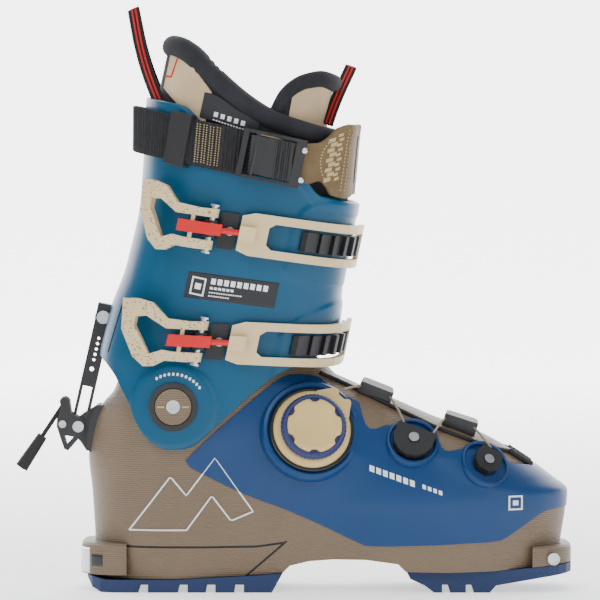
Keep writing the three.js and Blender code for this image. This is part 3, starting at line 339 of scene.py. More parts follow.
def blocks(name, at, rectangles, n0, n1, material):
    """Small raised rectangles (a0, a1, t0, t1) on a surface, as one mesh of closed boxes."""
    points, faces = [], []
    for a0, a1, t0, t1 in rectangles:
        first = len(points)
        for a, t in ((a0, t0), (a1, t0), (a1, t1), (a0, t1)):
            points += [at(a, t, n0), at(a, t, n1)]
        corners = [(0, 2, 4, 6), (1, 7, 5, 3)]
        corners += [(2 * k, 2 * k + 1, (2 * k + 3) % 8, (2 * k + 2) % 8) for k in range(4)]
        faces += [tuple(first + c for c in face) for face in corners]
    return finish_mesh(name, np.array(points, float).reshape(-1, 3), faces, material, 30)


def row(count, start, pitch, width, low, high, rise=0.0):
    """Equal rectangles (a0, a1, t0, t1) side by side, each a little higher or lower than the one before."""
    starts, rises = start + pitch * np.arange(count), rise * np.arange(count)
    return [(a, a + width, low + up, high + up) for a, up in zip(starts, rises)]


def tape(name, points, width, thickness, material, shift=0.0):
    """A woven tape along points, its width lying in the plane of X and Z, with rounded edges."""
    path = np.asarray(points, float)
    along = np.gradient(path, axis=0)
    flat = along * [1, 0, 1]
    side = np.stack([flat[:, 2], np.zeros(len(path)), -flat[:, 0]], axis=1)
    lengths = np.linalg.norm(side, axis=1)
    turned = lengths < 0.35 * np.linalg.norm(along, axis=1)
    side[turned] = side[np.argmax(~turned)]
    side *= np.where(side[:, :1] > 0, 1, -1) / np.linalg.norm(side, axis=1)[:, None]
    out = np.cross(along, side)
    out /= np.linalg.norm(out, axis=1)[:, None]
    half, thick = width / 2, thickness / 2
    profile = [(-half, -thick * 0.4), (-half + 0.3, -thick), (half - 0.3, -thick), (half, -thick * 0.4),
               (half, thick * 0.4), (half - 0.3, thick), (-half + 0.3, thick), (-half, thick * 0.4)]
    rings = [[p + d * (a + shift) + o * b for a, b in profile] for p, d, o in zip(path, side, out)]
    return loft(name, rings, material, 50)


def resample(points, step):
    """Evenly spaced points along a line of straight parts."""
    p = np.asarray(points, float)
    lengths = np.concatenate([[0], np.cumsum(np.linalg.norm(np.diff(p, axis=0), axis=1))])
    count = max(2, int(round(lengths[-1] / step)) + 1)
    at = np.linspace(0, lengths[-1], count)
    return np.stack([np.interp(at, lengths, p[:, k]) for k in range(p.shape[1])], axis=1)


def rounded_line(points, passes=2):
    """Corners of a line cut off, twice or more, so that it runs smoothly."""
    p = [np.asarray(q, float) for q in points]
    for _ in range(passes):
        middle = []
        for before, after in zip(p, p[1:]):
            middle += [before * 0.75 + after * 0.25, before * 0.25 + after * 0.75]
        p = [p[0], *middle[1:-1], p[-1]]
    return p


def lathe(name, centre, axis, profile, material, sides=96, ripple=None, sharp=30.0):
    """A solid of revolution from (radius, height) points. ripple changes the radius by angle and height."""
    axis = Vector(axis).normalized()
    side = axis.orthogonal().normalized()
    if abs(axis.x) < 0.9:
        side = (Vector((1, 0, 0)) - axis * axis.x).normalized()
    other = axis.cross(side)
    centre = Vector(centre)
    rings = []
    for radius, height in profile:
        ring = []
        for k in range(sides):
            angle = 2 * math.pi * k / sides
            r = radius + (ripple(angle, radius, height) if ripple else 0)
            ring.append(centre + axis * height + (side * math.cos(angle) + other * math.sin(angle)) * r)
        rings.append(ring)
    return loft(name, rings, material, sharp)


def add(piece, body, slot, *nodes):
    """Says what a piece rides on and the CAD nodes that it stands for; slot, its material slot, is not used.
    """
    if nodes:
        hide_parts(*nodes)
    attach(piece, body)
    return piece


# ---- materials ----
def rgb(red, green, blue):
    """A colour from display values of 0 to 255."""
    shown = [c / 255 for c in (red, green, blue)]
    return (*[c / 12.92 if c <= 0.04045 else ((c + 0.055) / 1.055) ** 2.4 for c in shown], 1.0)


class Shader:
    """A material with a principled shader, and short ways to add nodes to it."""

    def __init__(self, name, colour, roughness, metallic=0.0):
        self.material = bpy.data.materials.new(name)
        self.material.use_nodes = True
        self.tree = self.material.node_tree
        self.base = self.tree.nodes["Principled BSDF"]
        self.base.inputs["Base Color"].default_value = colour
        self.base.inputs["Roughness"].default_value = roughness
        self.base.inputs["Metallic"].default_value = metallic
        self.material.diffuse_color = colour
        self.colour = colour
        self.place = self.node("ShaderNodeTexCoord").outputs["Object"]
        self.bumped = None

    def node(self, kind, **values):
        made = self.tree.nodes.new(kind)
        for key, value in values.items():
            setattr(made, key, value)
        return made

    def link(self, start, end):
        self.tree.links.new(start, end)

    def noise(self, scale, detail=3.0, stretch=(1, 1, 1)):
        mapping = self.node("ShaderNodeMapping")
        mapping.inputs["Scale"].default_value = stretch
        self.link(self.place, mapping.inputs["Vector"])
        made = self.node("ShaderNodeTexNoise")
        made.inputs["Scale"].default_value = scale
        made.inputs["Detail"].default_value = detail
        self.link(mapping.outputs["Vector"], made.inputs["Vector"])
        return made.outputs["Fac"]

    def wave(self, scale, direction, distortion=0.0, detail_scale=1.0):
        made = self.node("ShaderNodeTexWave", wave_type="BANDS", bands_direction=direction)
        made.inputs["Scale"].default_value = scale
        made.inputs["Distortion"].default_value = distortion
        made.inputs["Detail"].default_value = 2
        made.inputs["Detail Scale"].default_value = detail_scale
        self.link(self.place, made.inputs["Vector"])
        return made.outputs["Fac"]

    def paint(self, value, stops):
        made = self.node("ShaderNodeValToRGB")
        elements = made.color_ramp.elements
        while len(elements) < len(stops):
            elements.new(0.5)
        for element, (position, colour) in zip(elements, stops):
            element.position = position
            element.color = colour
        self.link(value, made.inputs["Fac"])
        self.link(made.outputs["Color"], self.base.inputs["Base Color"])
        return self

    def vary(self, scale, amount, stretch=(1, 1, 1)):
        """Slightly lighter and darker patches."""
        dark = tuple(c * (1 - amount) for c in self.colour[:3]) + (1.0,)
        light = tuple(min(1, c * (1 + amount)) for c in self.colour[:3]) + (1.0,)
        return self.paint(self.noise(scale, 3, stretch), [(0.35, dark), (0.65, light)])

    def bump(self, value, distance, strength=1.0):
        made = self.node("ShaderNodeBump")
        made.inputs["Distance"].default_value = distance
        made.inputs["Strength"].default_value = strength
        self.link(value, made.inputs["Height"])
        if self.bumped:
            self.link(self.bumped, made.inputs["Normal"])
        self.bumped = made.outputs["Normal"]
        self.link(self.bumped, self.base.inputs["Normal"])
        return self

    def grain(self, scale, distance, detail=3):
        return self.bump(self.noise(scale, detail), distance)

    def lines(self, scale, direction, distance, distortion=0.0):
        return self.bump(self.wave(scale, direction, distortion), distance)

    def speckle(self, colour):
        stops = [(0.0, self.colour), (0.605, self.colour), (0.64, colour)]
        return self.paint(self.noise(620, 4, (1, 1, 1.6)), stops)

    def shine(self, level):
        self.base.inputs["Specular IOR Level"].default_value = level
        return self


def plastic(name, colour, roughness, grain=0.00006, variation=0.06):
    return Shader(name, colour, roughness).vary(18, variation).grain(1400, grain, 2)


CREAM = rgb(208, 186, 140)
SHADERS = {
    "taupe": plastic("shell_taupe", rgb(105, 88, 68), 0.5, 0.00005),
    "blue": plastic("shell_blue", rgb(6, 54, 100), 0.36).shine(0.3),
    "teal": plastic("cuff_teal", rgb(0, 72, 104), 0.33).shine(0.3),
    "cream": Shader("lever_cream", CREAM, 0.42).speckle(rgb(70, 66, 58)),
    "cream_plain": plastic("bail_cream", CREAM, 0.4),
    "dial_cream": plastic("dial_cream", rgb(198, 170, 108), 0.45),
    "grip_blue": plastic("grip_blue", rgb(34, 44, 92), 0.45),
    "lace": Shader("lace_braid", rgb(150, 138, 116), 0.6).lines(700, "DIAGONAL", 0.0003),
    "red": plastic("red_paint", rgb(196, 4, 6), 0.35),
    "sole": plastic("sole_blue", rgb(4, 36, 80), 0.6, 0.0001),
    "black": plastic("black_plastic", rgb(22, 23, 25), 0.42, 0.00006, 0.2),
    "soft_black": plastic("black_rubber", rgb(20, 20, 22), 0.7, 0.0001, 0.2),
    "label": plastic("label_dark", rgb(18, 20, 26), 0.5, 0.00003, 0.1),
    "webbing": Shader("webbing_black", rgb(24, 25, 28), 0.85).vary(300, 0.25).grain(900, 0.0002, 2),
    "tape": Shader("tape_black", rgb(20, 20, 22), 0.85).lines(900, "Z", 0.0002),
    "liner": Shader("liner_black", rgb(30, 31, 36), 0.95).vary(60, 0.25).grain(1500, 0.0003),
    "beige": Shader("liner_beige", rgb(196, 172, 136), 0.9).vary(40, 0.1),
    "steel": Shader("steel", rgb(196, 198, 202), 0.28, 1.0).vary(200, 0.12, (1, 6, 1)),
    "black_steel": plastic("black_steel", rgb(28, 29, 32), 0.38, 0.00004, 0.2),
    "panel": Shader("strap_taupe", rgb(96, 76, 44), 0.7).vary(90, 0.12).grain(700, 0.0002),
    # White serves the prints and also the painted highlight over the pivot.
    "white": plastic("print_and_highlight_white", rgb(226, 228, 230), 0.5),
    "pale_thread": plastic("thread_pale", rgb(168, 150, 110), 0.8),
    "red_cloth": Shader("red_cloth", rgb(200, 20, 26), 0.85).lines(600, "Z", 0.0002),
}
SHADERS["taupe"].bump(SHADERS["taupe"].wave(230, "Z", 3.5, 1.5), 0.00022, 0.75)
SHADERS["beige"].lines(500, "X", 0.00012, 1.0).lines(500, "Z", 0.00012, 1.0)
MAT = {key: shader.material for key, shader in SHADERS.items()}


# ---- lower shell, forefoot shell and instep flap ----
SHELL_UNDERSIDE = [
    (-62, 10.7), (-55, 10.7), (-43, 8.3), (-2, 8.3), (46, 10.7), (68.6, 12.5), (73, 17), (85, 20),
    (100, 21.3), (121, 21.3), (141, 18.7), (146, 13.7), (173, 13), (202, 13.7), (229, 16.2), (262, 19.5),
]
FOREFOOT_TOP_EDGE = [
    (7.6, 84), (16, 93), (35, 110), (55, 127), (67, 136.4), (79, 138.4), (92, 136), (104, 126.7),
    (116.8, 120), (120.6, 105), (127, 103.8), (136.5, 107.8), (166, 98), (168.7, 91.8), (172.7, 89.5),
    (184.8, 92.6), (204.3, 84), (216, 81), (228, 79),
]
FOREFOOT_LOW_EDGE = [
    (262, 53), (249, 53), (235, 51.8), (228, 48), (209, 35), (203, 32.7), (123, 29.7), (116.8, 32),
    (77.5, 51), (41, 64), (10.2, 80),
]
LEVELS = np.concatenate([np.linspace(8, 60, 36), np.linspace(61, 190, 130)])


def shell_solid(name, inset, material, bottom=8.0, steps=96):
    levels = [bottom, *LEVELS[LEVELS > bottom + 0.5]]
    return loft(name, [shell_ring(z, inset, steps) for z in levels], material)


def ledge(x0, x1, bottom, top, bend):
    """The flat rim of standard width that a binding clamps."""
    outer, inner = (x0, x1) if x0 < 0 else (x1, x0)
    way = bend if outer < inner else -bend
    turn = np.linspace(math.pi / 2, 0, 12)
    corner = [(outer + way * (1 - math.sin(a)), SOLE_HALF - bend * (1 - math.cos(a))) for a in turn]
    side = [(inner, SOLE_HALF), *reversed(corner)]
    outline = side + [(x, -y) for x, y in reversed(side)]
    chamfer = 1.2
    rings = []
    for z, shrink in [(bottom, 0), (top - chamfer, 0), (top, chamfer)]:
        shift, narrow = shrink * np.sign(way), 1 - shrink / SOLE_HALF
        rings.append([(x + shift * (abs(x - inner) > 1), y * narrow, z) for x, y in outline])
    return loft("rim", rings, MAT["taupe"])


def smoothed(outline):
    return [tuple(p) for p in rounded_line(outline)]


NOTCH = 8
FORE_TOP = smoothed(FOREFOOT_TOP_EDGE[:NOTCH + 1]) + smoothed(FOREFOOT_TOP_EDGE[NOTCH:])[1:]
FORE_OUTLINE = FORE_TOP + [(262, 79)] + smoothed(FOREFOOT_LOW_EDGE)
FLAP_OUTLINE = [p for p in FORE_TOP if p[0] > 66]
FLAP_OUTLINE += [(262, 79), (262, 90), (236, 92), (180, 150), (120, 200), (48, 200)]


def above_sole():
    return prism("above", SHELL_UNDERSIDE + [(262, 220), (-62, 220)])


def skin_tubes(name, outline, radius, out, material):
    """A thin tube along a line on the shell's surface, on each side."""
    made = []
    for side, label in SIDES:
        points = [on_shell(x, z, out, side)[0] for x, z in resample(outline, 2.0)]
        made.append(tube(f"{name}_{label}", points, radius, material, 8))
    return made


cavity = shell_solid("cavity", WALL, MAT["black"], 22.0, 48)
brown = shell_solid("lower_shell_skin", 0.0, MAT["taupe"])
boolean(brown, "INTERSECT", above_sole())
boolean(brown, "UNION", ledge(HEEL_END, -30, 11, 30.8, HEEL_BEND),
        ledge(226, TOE_END, 14.5, 29, TOE_BEND))
boolean(brown, "INTERSECT", above_sole())
boolean(brown, "DIFFERENCE", copy_of(cavity))
flap_skin = copy_of(brown)
flap_skin.name = "instep_flap_skin"
flap_core = shell_solid("instep_flap_core", 0.6, MAT["taupe"])
boolean(flap_skin, "INTERSECT", prism("flap_space", FLAP_OUTLINE), flap_core)
boolean(flap_skin, "DIFFERENCE", prism("fore_space", FORE_OUTLINE))
boolean(brown, "DIFFERENCE", prism("fore_space", FORE_OUTLINE), prism("flap_space", FLAP_OUTLINE))

DIAL = Vector((86.6, -48, 103.7))
DIAL_AXIS = Vector((0.13, -0.95, 0.26)).normalized()
blue = shell_solid("forefoot_skin", -0.7, MAT["blue"])
boolean(blue, "INTERSECT", prism("fore_space", FORE_OUTLINE))
pod_profile = [(29, -16), (32.2, -6), (31.6, -1.5), (30.4, 0.6), (28.4, 1.2), (27.2, 0.4), (26.8, -2.6)]
boolean(blue, "UNION", lathe("pod", DIAL, DIAL_AXIS, pod_profile, MAT["blue"]))
guide_rim = [(15.5, -8), (17.2, -1), (16.2, 1.9), (15, 2.2), (14.2, 1.6), (13.8, -0.6)]
for x, z in ((150, 96), (195.7, 81.5)):
    boolean(blue, "UNION", lathe("pod", *on_shell(x, z), guide_rim, MAT["blue"]))
boolean(blue, "DIFFERENCE", cavity)
groove_lines = [[(-60, 29.2), (-30, 29.2), (20, 28.9), (52, 29.4), (70, 32)], [(45, 10), (71, 33)]]
for line in groove_lines:
    boolean(brown, "DIFFERENCE", *skin_tubes("groove", line, 0.7, 0.1, MAT["black"]))
add(brown, "shell", "taupe_plastic", "lower_shell")
add(blue, "shell", "blue_plastic", "forefoot_shell")
add(flap_skin, "shell", "taupe_plastic", "instep_flap")

# The dark seal between the flap and the forefoot, and a dark strip under the flap's tip.
seal_line = [(92, 138), (110, 130), (135, 118), (165, 104), (200, 91), (216, 87)]
tip_line = [(212, 88), (226, 79)]
for name, line, radius, out in (("flap_seal", seal_line, 1.3, 0.3), ("flap_tip", tip_line, 2.4, 0.2)):
    for piece in skin_tubes(name, line, radius, out, MAT["soft_black"]):
        add(piece, "shell", "black_rubber")

# A plain mountain outline in white on the heel, on both sides.
ridge = [(-28, 40), (-2, 74), (8, 62), (26, 86), (50, 52), (36, 46), (24, 62), (8, 40), (-28, 40)]
for piece in skin_tubes("heel_graphic", ridge, 0.55, 0.25, MAT["white"]):
    add(piece, "shell", "cream_plastic")

# ---- cuff ----
CUFF_EDGE = curve([
    (-60, 20.5), (-52, 19), (-41.3, 11.3), (-35.4, 4.2), (-24.8, -8.4), (-17, -19), (-9, -25), (0, -27.3),
    (8, -26), (16.4, -22.2), (23.5, -14.4), (35, 1.6), (49.4, 20.9), (59.3, 32.6), (72, 42), (84, 50),
    (100, 53),
])
CUFF_TOP = curve([(-60, 186), (-36, 186), (-18, 177), (46, 161), (64, 148.5), (100, 148.5)])
ANGLES = 2 * np.pi * np.arange(360) / 360


def edge_height(edge, inset=0.0, lean=None, angles=ANGLES):
    """The height of an edge line all round, where it is given as height against u."""
    w = np.full(len(angles), 60.0)
    for _ in range(60):
        w = 0.5 * w + 0.5 * edge(section(w, angles, inset, lean)[0])
    return w


def band(name, low, high, outer, thickness, material, rows, rim, relief=None, lean=None):
    """A closed wall round the cuff's section between two edge heights, with rounded edges.
    outer is how far its outer face lies inside the cuff's; relief moves it out by angle and height."""
    turn = np.linspace(0, np.pi, 7)[1:-1]
    profile = [(0.0, t, 0.0) for t in np.linspace(0, 1, rows)]
    profile += [(thickness / 2 * (1 - math.cos(a)), 1.0, rim * math.sin(a)) for a in turn]
    profile += [(thickness, t, 0.0) for t in np.linspace(1, 0, rows)]
    profile += [(thickness / 2 * (1 + math.cos(a)), 0.0, -rim * math.sin(a)) for a in turn]
    rings = []
    for inset, t, extra in profile:
        w = low + (high - low) * t + extra
        u, v = section(w, ANGLES, outer + inset, lean)
        if relief is not None and inset < thickness / 2:
            out = relief(ANGLES, w)
            u2, v2 = section(w, ANGLES, outer + inset - 1.0, lean)
            u, v = u + (u2 - u) * out, v + (v2 - v) * out
        rings.append(leaned(np.stack([u, v, w], axis=1)))
    return closed_grid(name, rings, material, 40)


def step_up(x, width):
    """A soft step from 0 to 1 where x is 0."""
    return 1 / (1 + np.exp(-np.clip(x / width, -40, 40)))


UPPER_PAD_TOP = curve([(49, 128), (55, 138.7), (66, 145), (85, 148)])
UPPER_PAD_BOTTOM = curve([(49, 98.5), (54, 93.3), (65, 91.7), (90, 96)])
LOWER_PAD_TOP = curve([(56, 58), (61, 66.9), (74, 77), (88, 86)])
PIVOT_BOSS = 26.5
REAR_FACET = curve([(0, -30), (40, -33), (80, -26), (130, -32), (186, -40)])


def cuff_relief(angle, w):
    """How far the outer face stands out: the pivot bosses, the racks' pads, the rear facet and the lip."""
    u, v = section(w, angle)
    boss = 1.3 * step_up(PIVOT_BOSS - np.hypot(u, w), 0.5) * (np.abs(v) > 30)
    outer_side = step_up(-v + 8, 4.0)
    upper_pad = step_up(UPPER_PAD_TOP(u) - w, 0.5) * step_up(w - UPPER_PAD_BOTTOM(u), 0.5)
    upper_pad *= step_up(u - 50, 0.6)
    lower_pad = step_up(LOWER_PAD_TOP(u) - w, 0.5) * step_up(u - 56, 0.6)
    rear = 0.9 * step_up(REAR_FACET(w) - u, 1.2) * step_up(w - 18, 3)
    lip = 0.8 * step_up(w - CUFF_TOP(u) + 9, 0.5)
    return boss + 0.9 * np.maximum(upper_pad, lower_pad) * outer_side + rear + lip


low_edge, top_edge = edge_height(CUFF_EDGE), edge_height(CUFF_TOP)
RIM = 1.2
cuff_skin = band("cuff_skin", low_edge + RIM, top_edge - RIM, 0.0, WALL, MAT["teal"], 190, RIM, cuff_relief)


def local_box(name, low, high):
    corners = [(x, y, z) for x in (low[0], high[0]) for y in (low[1], high[1]) for z in (low[2], high[2])]
    faces = [(0, 1, 3, 2), (4, 6, 7, 5), (0, 4, 5, 1), (2, 3, 7, 6), (0, 2, 6, 4), (1, 5, 7, 3)]
    return finish_mesh(name, leaned(corners), faces, MAT["black"])


boolean(cuff_skin, "DIFFERENCE", local_box("slot", (-75, -8.6, 0), (-36, 8.6, 71)))
hole = lathe("hole", (0, -80, PIVOT_Z), (0, 1, 0), [(12, 0), (12, 160)], MAT["black"])
slit = resample([(-44.3, 55), (-47, 24)], 2)
slits = [tube("slit", [beside(u, w, 0.3, side) for u, w in slit], 0.9, MAT["black"], 8) for side, _ in SIDES]
boolean(cuff_skin, "DIFFERENCE", hole, *slits)
add(cuff_skin, "cuff", "teal_plastic", "cuff")

# ---- liner: padded collar, tongue and pull loops ----
COLLAR_INSET = WALL + 1.2
COLLAR_WALL = 7.0
COLLAR_LEAN = curve([(138, 0), (150, 1), (163, 3), (180, 7), (195, 11)])
TONGUE_INSET = COLLAR_INSET + COLLAR_WALL + 0.5
TONGUE_WALL = 7.0
TONGUE_LEAN = curve([(138, 0), (150, 1), (163, 3), (180, 8), (195, 15.5), (212, 16), (225, 12.5)])
COLLAR_LINE = curve([
    (-60, 221), (-44, 221), (-37, 219), (-20.4, 208.5), (4.6, 195), (21.3, 189), (34.6, 187), (60, 185),
    (90, 184),
])
COLLAR_FOOT = curve([(-60, 66), (-40, 80), (0, 89.5), (40, 80), (60, 66), (90, 62)])
TONGUE_LINE = curve([
    (10, 176), (20, 188), (24.8, 195), (28, 205), (34, 213), (40.3, 217.5), (50.9, 221), (62, 219),
])
ROLL = 6.4


def collar_roll():
    """The thick rim, with small folds where it bends down towards the side."""
    w = edge_height(COLLAR_LINE, COLLAR_INSET + 3, COLLAR_LEAN)
    u, v = section(w, ANGLES, COLLAR_INSET + 3.2, COLLAR_LEAN)
    folds = sum(0.7 * np.exp(-(((u - place) / 1.1) ** 2)) for place in (-27.5, -23.5, -19.5))
    radius = ROLL + 0.9 * step_up(-u - 30, 6) - folds
    return tube("collar_roll", leaned(np.stack([u, v, w - 0.5], axis=1)), radius, MAT["liner"], 20, True)


foot_line = edge_height(COLLAR_FOOT, COLLAR_INSET, COLLAR_LEAN)
collar_line = edge_height(COLLAR_LINE, COLLAR_INSET, COLLAR_LEAN)
collar = band("liner_collar", foot_line, collar_line, COLLAR_INSET, COLLAR_WALL, MAT["liner"], 60, 1.5,
              lean=COLLAR_LEAN)
add(collar, "cuff", "liner_fabric", "liner_shaft")
add(collar_roll(), "cuff", "liner_fabric")

PATCH_TOP = curve([(-48, 216), (-36, 213), (-22, 202), (-17, 197.5)])
PATCH_LOW = curve([(-48, 194), (-30, 180.5), (-21, 174), (-17, 173)])
BADGE_TOP = curve([(-21.5, 197), (-17.4, 197), (4, 189.5), (16, 186)])
BADGE_LOW = curve([(-21.5, 180.5), (16, 176)])
PIPING = resample([(-47.6, 201.5), (-44.2, 201.5), (-42.6, 215.5)], 1.0)


def on_collar(side):
    return lambda u, w, n: beside(u, w, n, side, COLLAR_INSET, COLLAR_LEAN)


def collar_trim(side, label):
    """The pale patch, the dark badge with its marks, the small tab, the red piping and the stitches."""
    at = on_collar(side)
    patch_u, badge_u = np.linspace(-47.8, -17.2, 40), np.linspace(-21.5, 16, 40)
    tab_u = np.linspace(17, 34, 24)
    marks = row(5, -13, 4.4, 2.6, 183, 186, -0.45) + row(12, -13, 1.9, 1.2, 180.6, 181.4, -0.2)
    seam = [(u, u + 1.3, PATCH_TOP(u) - 1.5, PATCH_TOP(u) - 1.15) for u in np.arange(-46, -19, 2.2)]
    return [
        strip(f"collar_patch_{label}", at, patch_u, PATCH_LOW(patch_u), PATCH_TOP(patch_u), -0.5, 0.5,
              MAT["beige"]),
        strip(f"collar_label_{label}", at, badge_u, BADGE_LOW(badge_u), BADGE_TOP(badge_u), -0.5, 1.0,
              MAT["label"]),
        strip(f"collar_tab_{label}", at, tab_u, 174.0, 181 - 0.1 * tab_u, -0.5, 0.8, MAT["beige"], 8),
        tube(f"collar_piping_{label}", [at(u, w, 0.6) for u, w in PIPING], 0.55, MAT["red_cloth"], 8),
        blocks(f"collar_marks_{label}", at, marks, 0.8, 1.15, MAT["white"]),
        blocks(f"collar_seam_{label}", at, seam, 0.3, 0.75, MAT["pale_thread"]),
    ]


for side, label in SIDES:
    for piece in collar_trim(side, label):
        add(piece, "cuff", "liner_fabric")


def tongue_at(a, w, n):
    """A point on the tongue's outer face at an angle from the front and a height, moved out."""
    u, v = section(w, a, TONGUE_INSET - np.asarray(n, float), TONGUE_LEAN)
    u, v, w = np.broadcast_arrays(u, v, w)
    return leaned(np.stack([u, v, w], axis=-1))


TONGUE_FOOT = 92.0
tongue_angles = np.radians(np.linspace(-72, 72, 97))
tongue_top = edge_height(TONGUE_LINE, TONGUE_INSET, TONGUE_LEAN, tongue_angles)
tongue = strip("liner_tongue_pad", tongue_at, tongue_angles, TONGUE_FOOT, tongue_top, -TONGUE_WALL, 0.0,
               MAT["liner"], 70)
add(tongue, "cuff", "liner_fabric", "liner_tongue")
face_angles, face_top = tongue_angles[8:-8], tongue_top[8:-8] - 4
face = strip("tongue_face", tongue_at, face_angles, 180.0, face_top, -0.5, 0.6, MAT["beige"], 24)
add(face, "cuff", "liner_fabric")
rim_u, rim_v = section(tongue_top, tongue_angles, TONGUE_INSET + 1.5, TONGUE_LEAN)
rim_path = leaned(np.stack([rim_u, rim_v, tongue_top - 1.0], axis=1))
rim_radius = 5.6 * (0.55 + 0.45 * np.sin(np.linspace(0.15, math.pi - 0.15, len(rim_path))) ** 0.5)
add(tube("tongue_roll", rim_path, rim_radius, MAT["liner"], 18), "cuff", "liner_fabric")


def pull_loop(name, leg, width, node):
    """A folded tape with red stripes: leg gives one side's points from its foot to the fold."""
    half = np.array(rounded_line(leg, 3))
    path = np.concatenate([half, half[-2::-1] * [1, -1, 1]])
    add(tape(name, path, width, 1.6, MAT["tape"]), "cuff", "black_webbing", node)
    for number, shift in ((1, -0.15 * width), (2, 0.15 * width)):
        stripe = tape(f"{name}_stripe_{number}", path, 0.2 * width, 2.1, MAT["red_cloth"], shift)
        add(stripe, "cuff", "black_webbing")


rear_leg = [
    (-6.5, -32, 303), (-11.2, -26, 313.4), (-17.4, -16.5, 329.2), (-21.9, -9, 345.1), (-24.3, -4.5, 357.8),
    (-25.8, -1.6, 366), (-26.2, 0, 367.6),
]
front_leg = [
    (96.6, -23, 295), (100, -17.5, 305), (104.6, -10, 316), (109.6, -4, 326.5), (111.4, -1.4, 330.4),
    (111.7, 0, 331.2),
]
pull_loop("rear_pull_loop", rear_leg, 7.8, "rear_loop")
pull_loop("front_pull_loop", front_leg, 7.5, "front_loop")

# ---- power strap ----
# s runs round the cuff, t is the height and n is how far out a face lies.
STRAP_LOW, STRAP_HIGH = 150.5, 179.0
STRAP_BACKING = 2.0
PANEL_FACE = 4.4
CAM_S = 1.5
WEBBING_START = -HALF_WAY - 10
PANEL_START = 20
STRAP_FRONT = curve([(56, 0), (84, 1), (132, 1), (158, 0)])
STRAP_BACK = curve([(-215, 0.6), (-180, 0.7), (-110, 1), (-84, 1), (-56, 0)])


def strap_at(s, t, n):
    """The strap stands off behind the cuff and draws in over the tongue in front, more so higher up."""
    t = np.asarray(t, float)
    slack = STRAP_BACK(s) * (3.8 + 0.065 * (t - 151)) - STRAP_FRONT(s) * (6.9 + 0.07 * (t - 153))
    return wrapped(s, t, np.asarray(n, float) + slack)


def webbing_face(s, t):
    """Ribs, coarse before the cam, and a low flat end that the turning cam clears."""
    if s > CAM_S - 6:
        return 3.5 + 0.0 * t
    coarse = -38 < s < CAM_S - 20
    pitch, depth = (4.0, 0.55) if coarse else (1.9, 0.4)
    return 4.0 + depth * np.sin(2 * np.pi * s / pitch) + 0.0 * t


def add_rivets(name, s, margin, n, profile, sides):
    """Two rivet heads at length s, a margin in from the strap's edges."""
    for t in (STRAP_LOW + margin, STRAP_HIGH - margin):
        centre = Vector(strap_at(s, t, n))
        outward = (Vector(strap_at(s, t, n + 2.0)) - centre).normalized()
        add(lathe(f"{name}_{round(t)}", centre, outward, profile, MAT["steel"], sides), "cuff", "steel")


webbing_s = np.arange(WEBBING_START, CAM_S - 0.2, 0.4)
webbing = strip("strap_ribbed_webbing", strap_at, webbing_s, STRAP_LOW, STRAP_HIGH, STRAP_BACKING,
                webbing_face, MAT["webbing"], 10, 60)
add(webbing, "cuff", "black_webbing", "strap_webbing")
flecks = []
for k in range(4):
    for height in np.arange(STRAP_LOW + 2.5, STRAP_HIGH - 2.5, 1.45):
        low = height + 0.3 * (k % 2)
        flecks += [(lane, lane + 0.45, low, low + 0.65) for lane in (-34.5 + 4 * k, -32.8 + 4 * k)]
wide_head = [(3.4, -1.2), (3.4, 0.3), (2.8, 0.9), (1.4, 1.2)]
add_rivets("strap_rivet", WEBBING_START + 5, 8, PANEL_FACE, wide_head, 40)
add(blocks("webbing_flecks", strap_at, flecks, 3.7, 4.62, MAT["pale_thread"]), "cuff", "black_webbing")

PANEL_LOW = curve([
    (20, 153.5), (34, 154), (41, 157), (46, 154), (50, 149.8), (60, 149.4), (90, 153), (150, 151),
    (190, 152),
])
PANEL_HIGH = curve([
    (20, 176.5), (37, 180.5), (43, 185.5), (48, 192.5), (56, 196), (90, 197), (150, 194), (190, 178),
])
panel_s = np.concatenate([np.linspace(PANEL_START, 60, 70), np.linspace(60.8, HALF_WAY, 140)])
panel = strip("strap_front_panel", strap_at, panel_s, PANEL_LOW(panel_s), PANEL_HIGH(panel_s), STRAP_BACKING,
              PANEL_FACE, MAT["panel"], 22)
add(panel, "cuff", "taupe_plastic", "strap_panel")
stitches = []
for line in (54.5, 58.0):
    stitches += [(line, line + 0.4, t, t + 1.2) for t in np.arange(154, 193, 2.2)]
for t in np.arange(157, 184, 2.0):
    line = 39 + 5.5 * ((t - 170) / 14) ** 2
    stitches.append((line, line + 0.5, t, t + 1.1))
add(blocks("panel_stitches", strap_at, stitches, 4.0, 4.75, MAT["pale_thread"]), "cuff", "taupe_plastic")


def slanted(s, t, n):
    """Points for the panel's print, whose dashes rise towards the front."""
    return strap_at(s, t + 0.5 * (s - 48), n)


dashes = [(42.8 + 1.6 * (k % 2), 46.8 + 1.6 * (k % 2), 159.5 + 3.1 * k, 161.9 + 3.1 * k) for k in range(9)]
dashes += [(49.4 - 1.0 * (k % 2), 52.2 - 1.0 * (k % 2), 158.6 + 3.1 * k, 160.4 + 3.1 * k) for k in range(10)]
add(blocks("panel_print", slanted, dashes, 4.0, 4.6, MAT["pale_thread"]), "cuff", "taupe_plastic")
edge = strip("panel_edge", strap_at, np.linspace(82, 91, 12), 160, 190, 4.0, 4.9, MAT["label"])
add(edge, "cuff", "black_webbing")

# The keeper's outer and inner outlines, as (height above the strap's low edge, distance out).
KEEPER_OUTSIDE = [(-2.4, 1.2), (-2.4, 5.9), (-1.7, 6.6), (30.2, 6.6), (30.9, 5.9), (30.9, 1.2)]
KEEPER_INSIDE = [(-0.4, 1.6), (-0.4, 4.9), (-0.4, 4.9), (28.9, 4.9), (28.9, 4.9), (28.9, 1.6)]
KEEPER_START, KEEPER_END = -51, -38.5


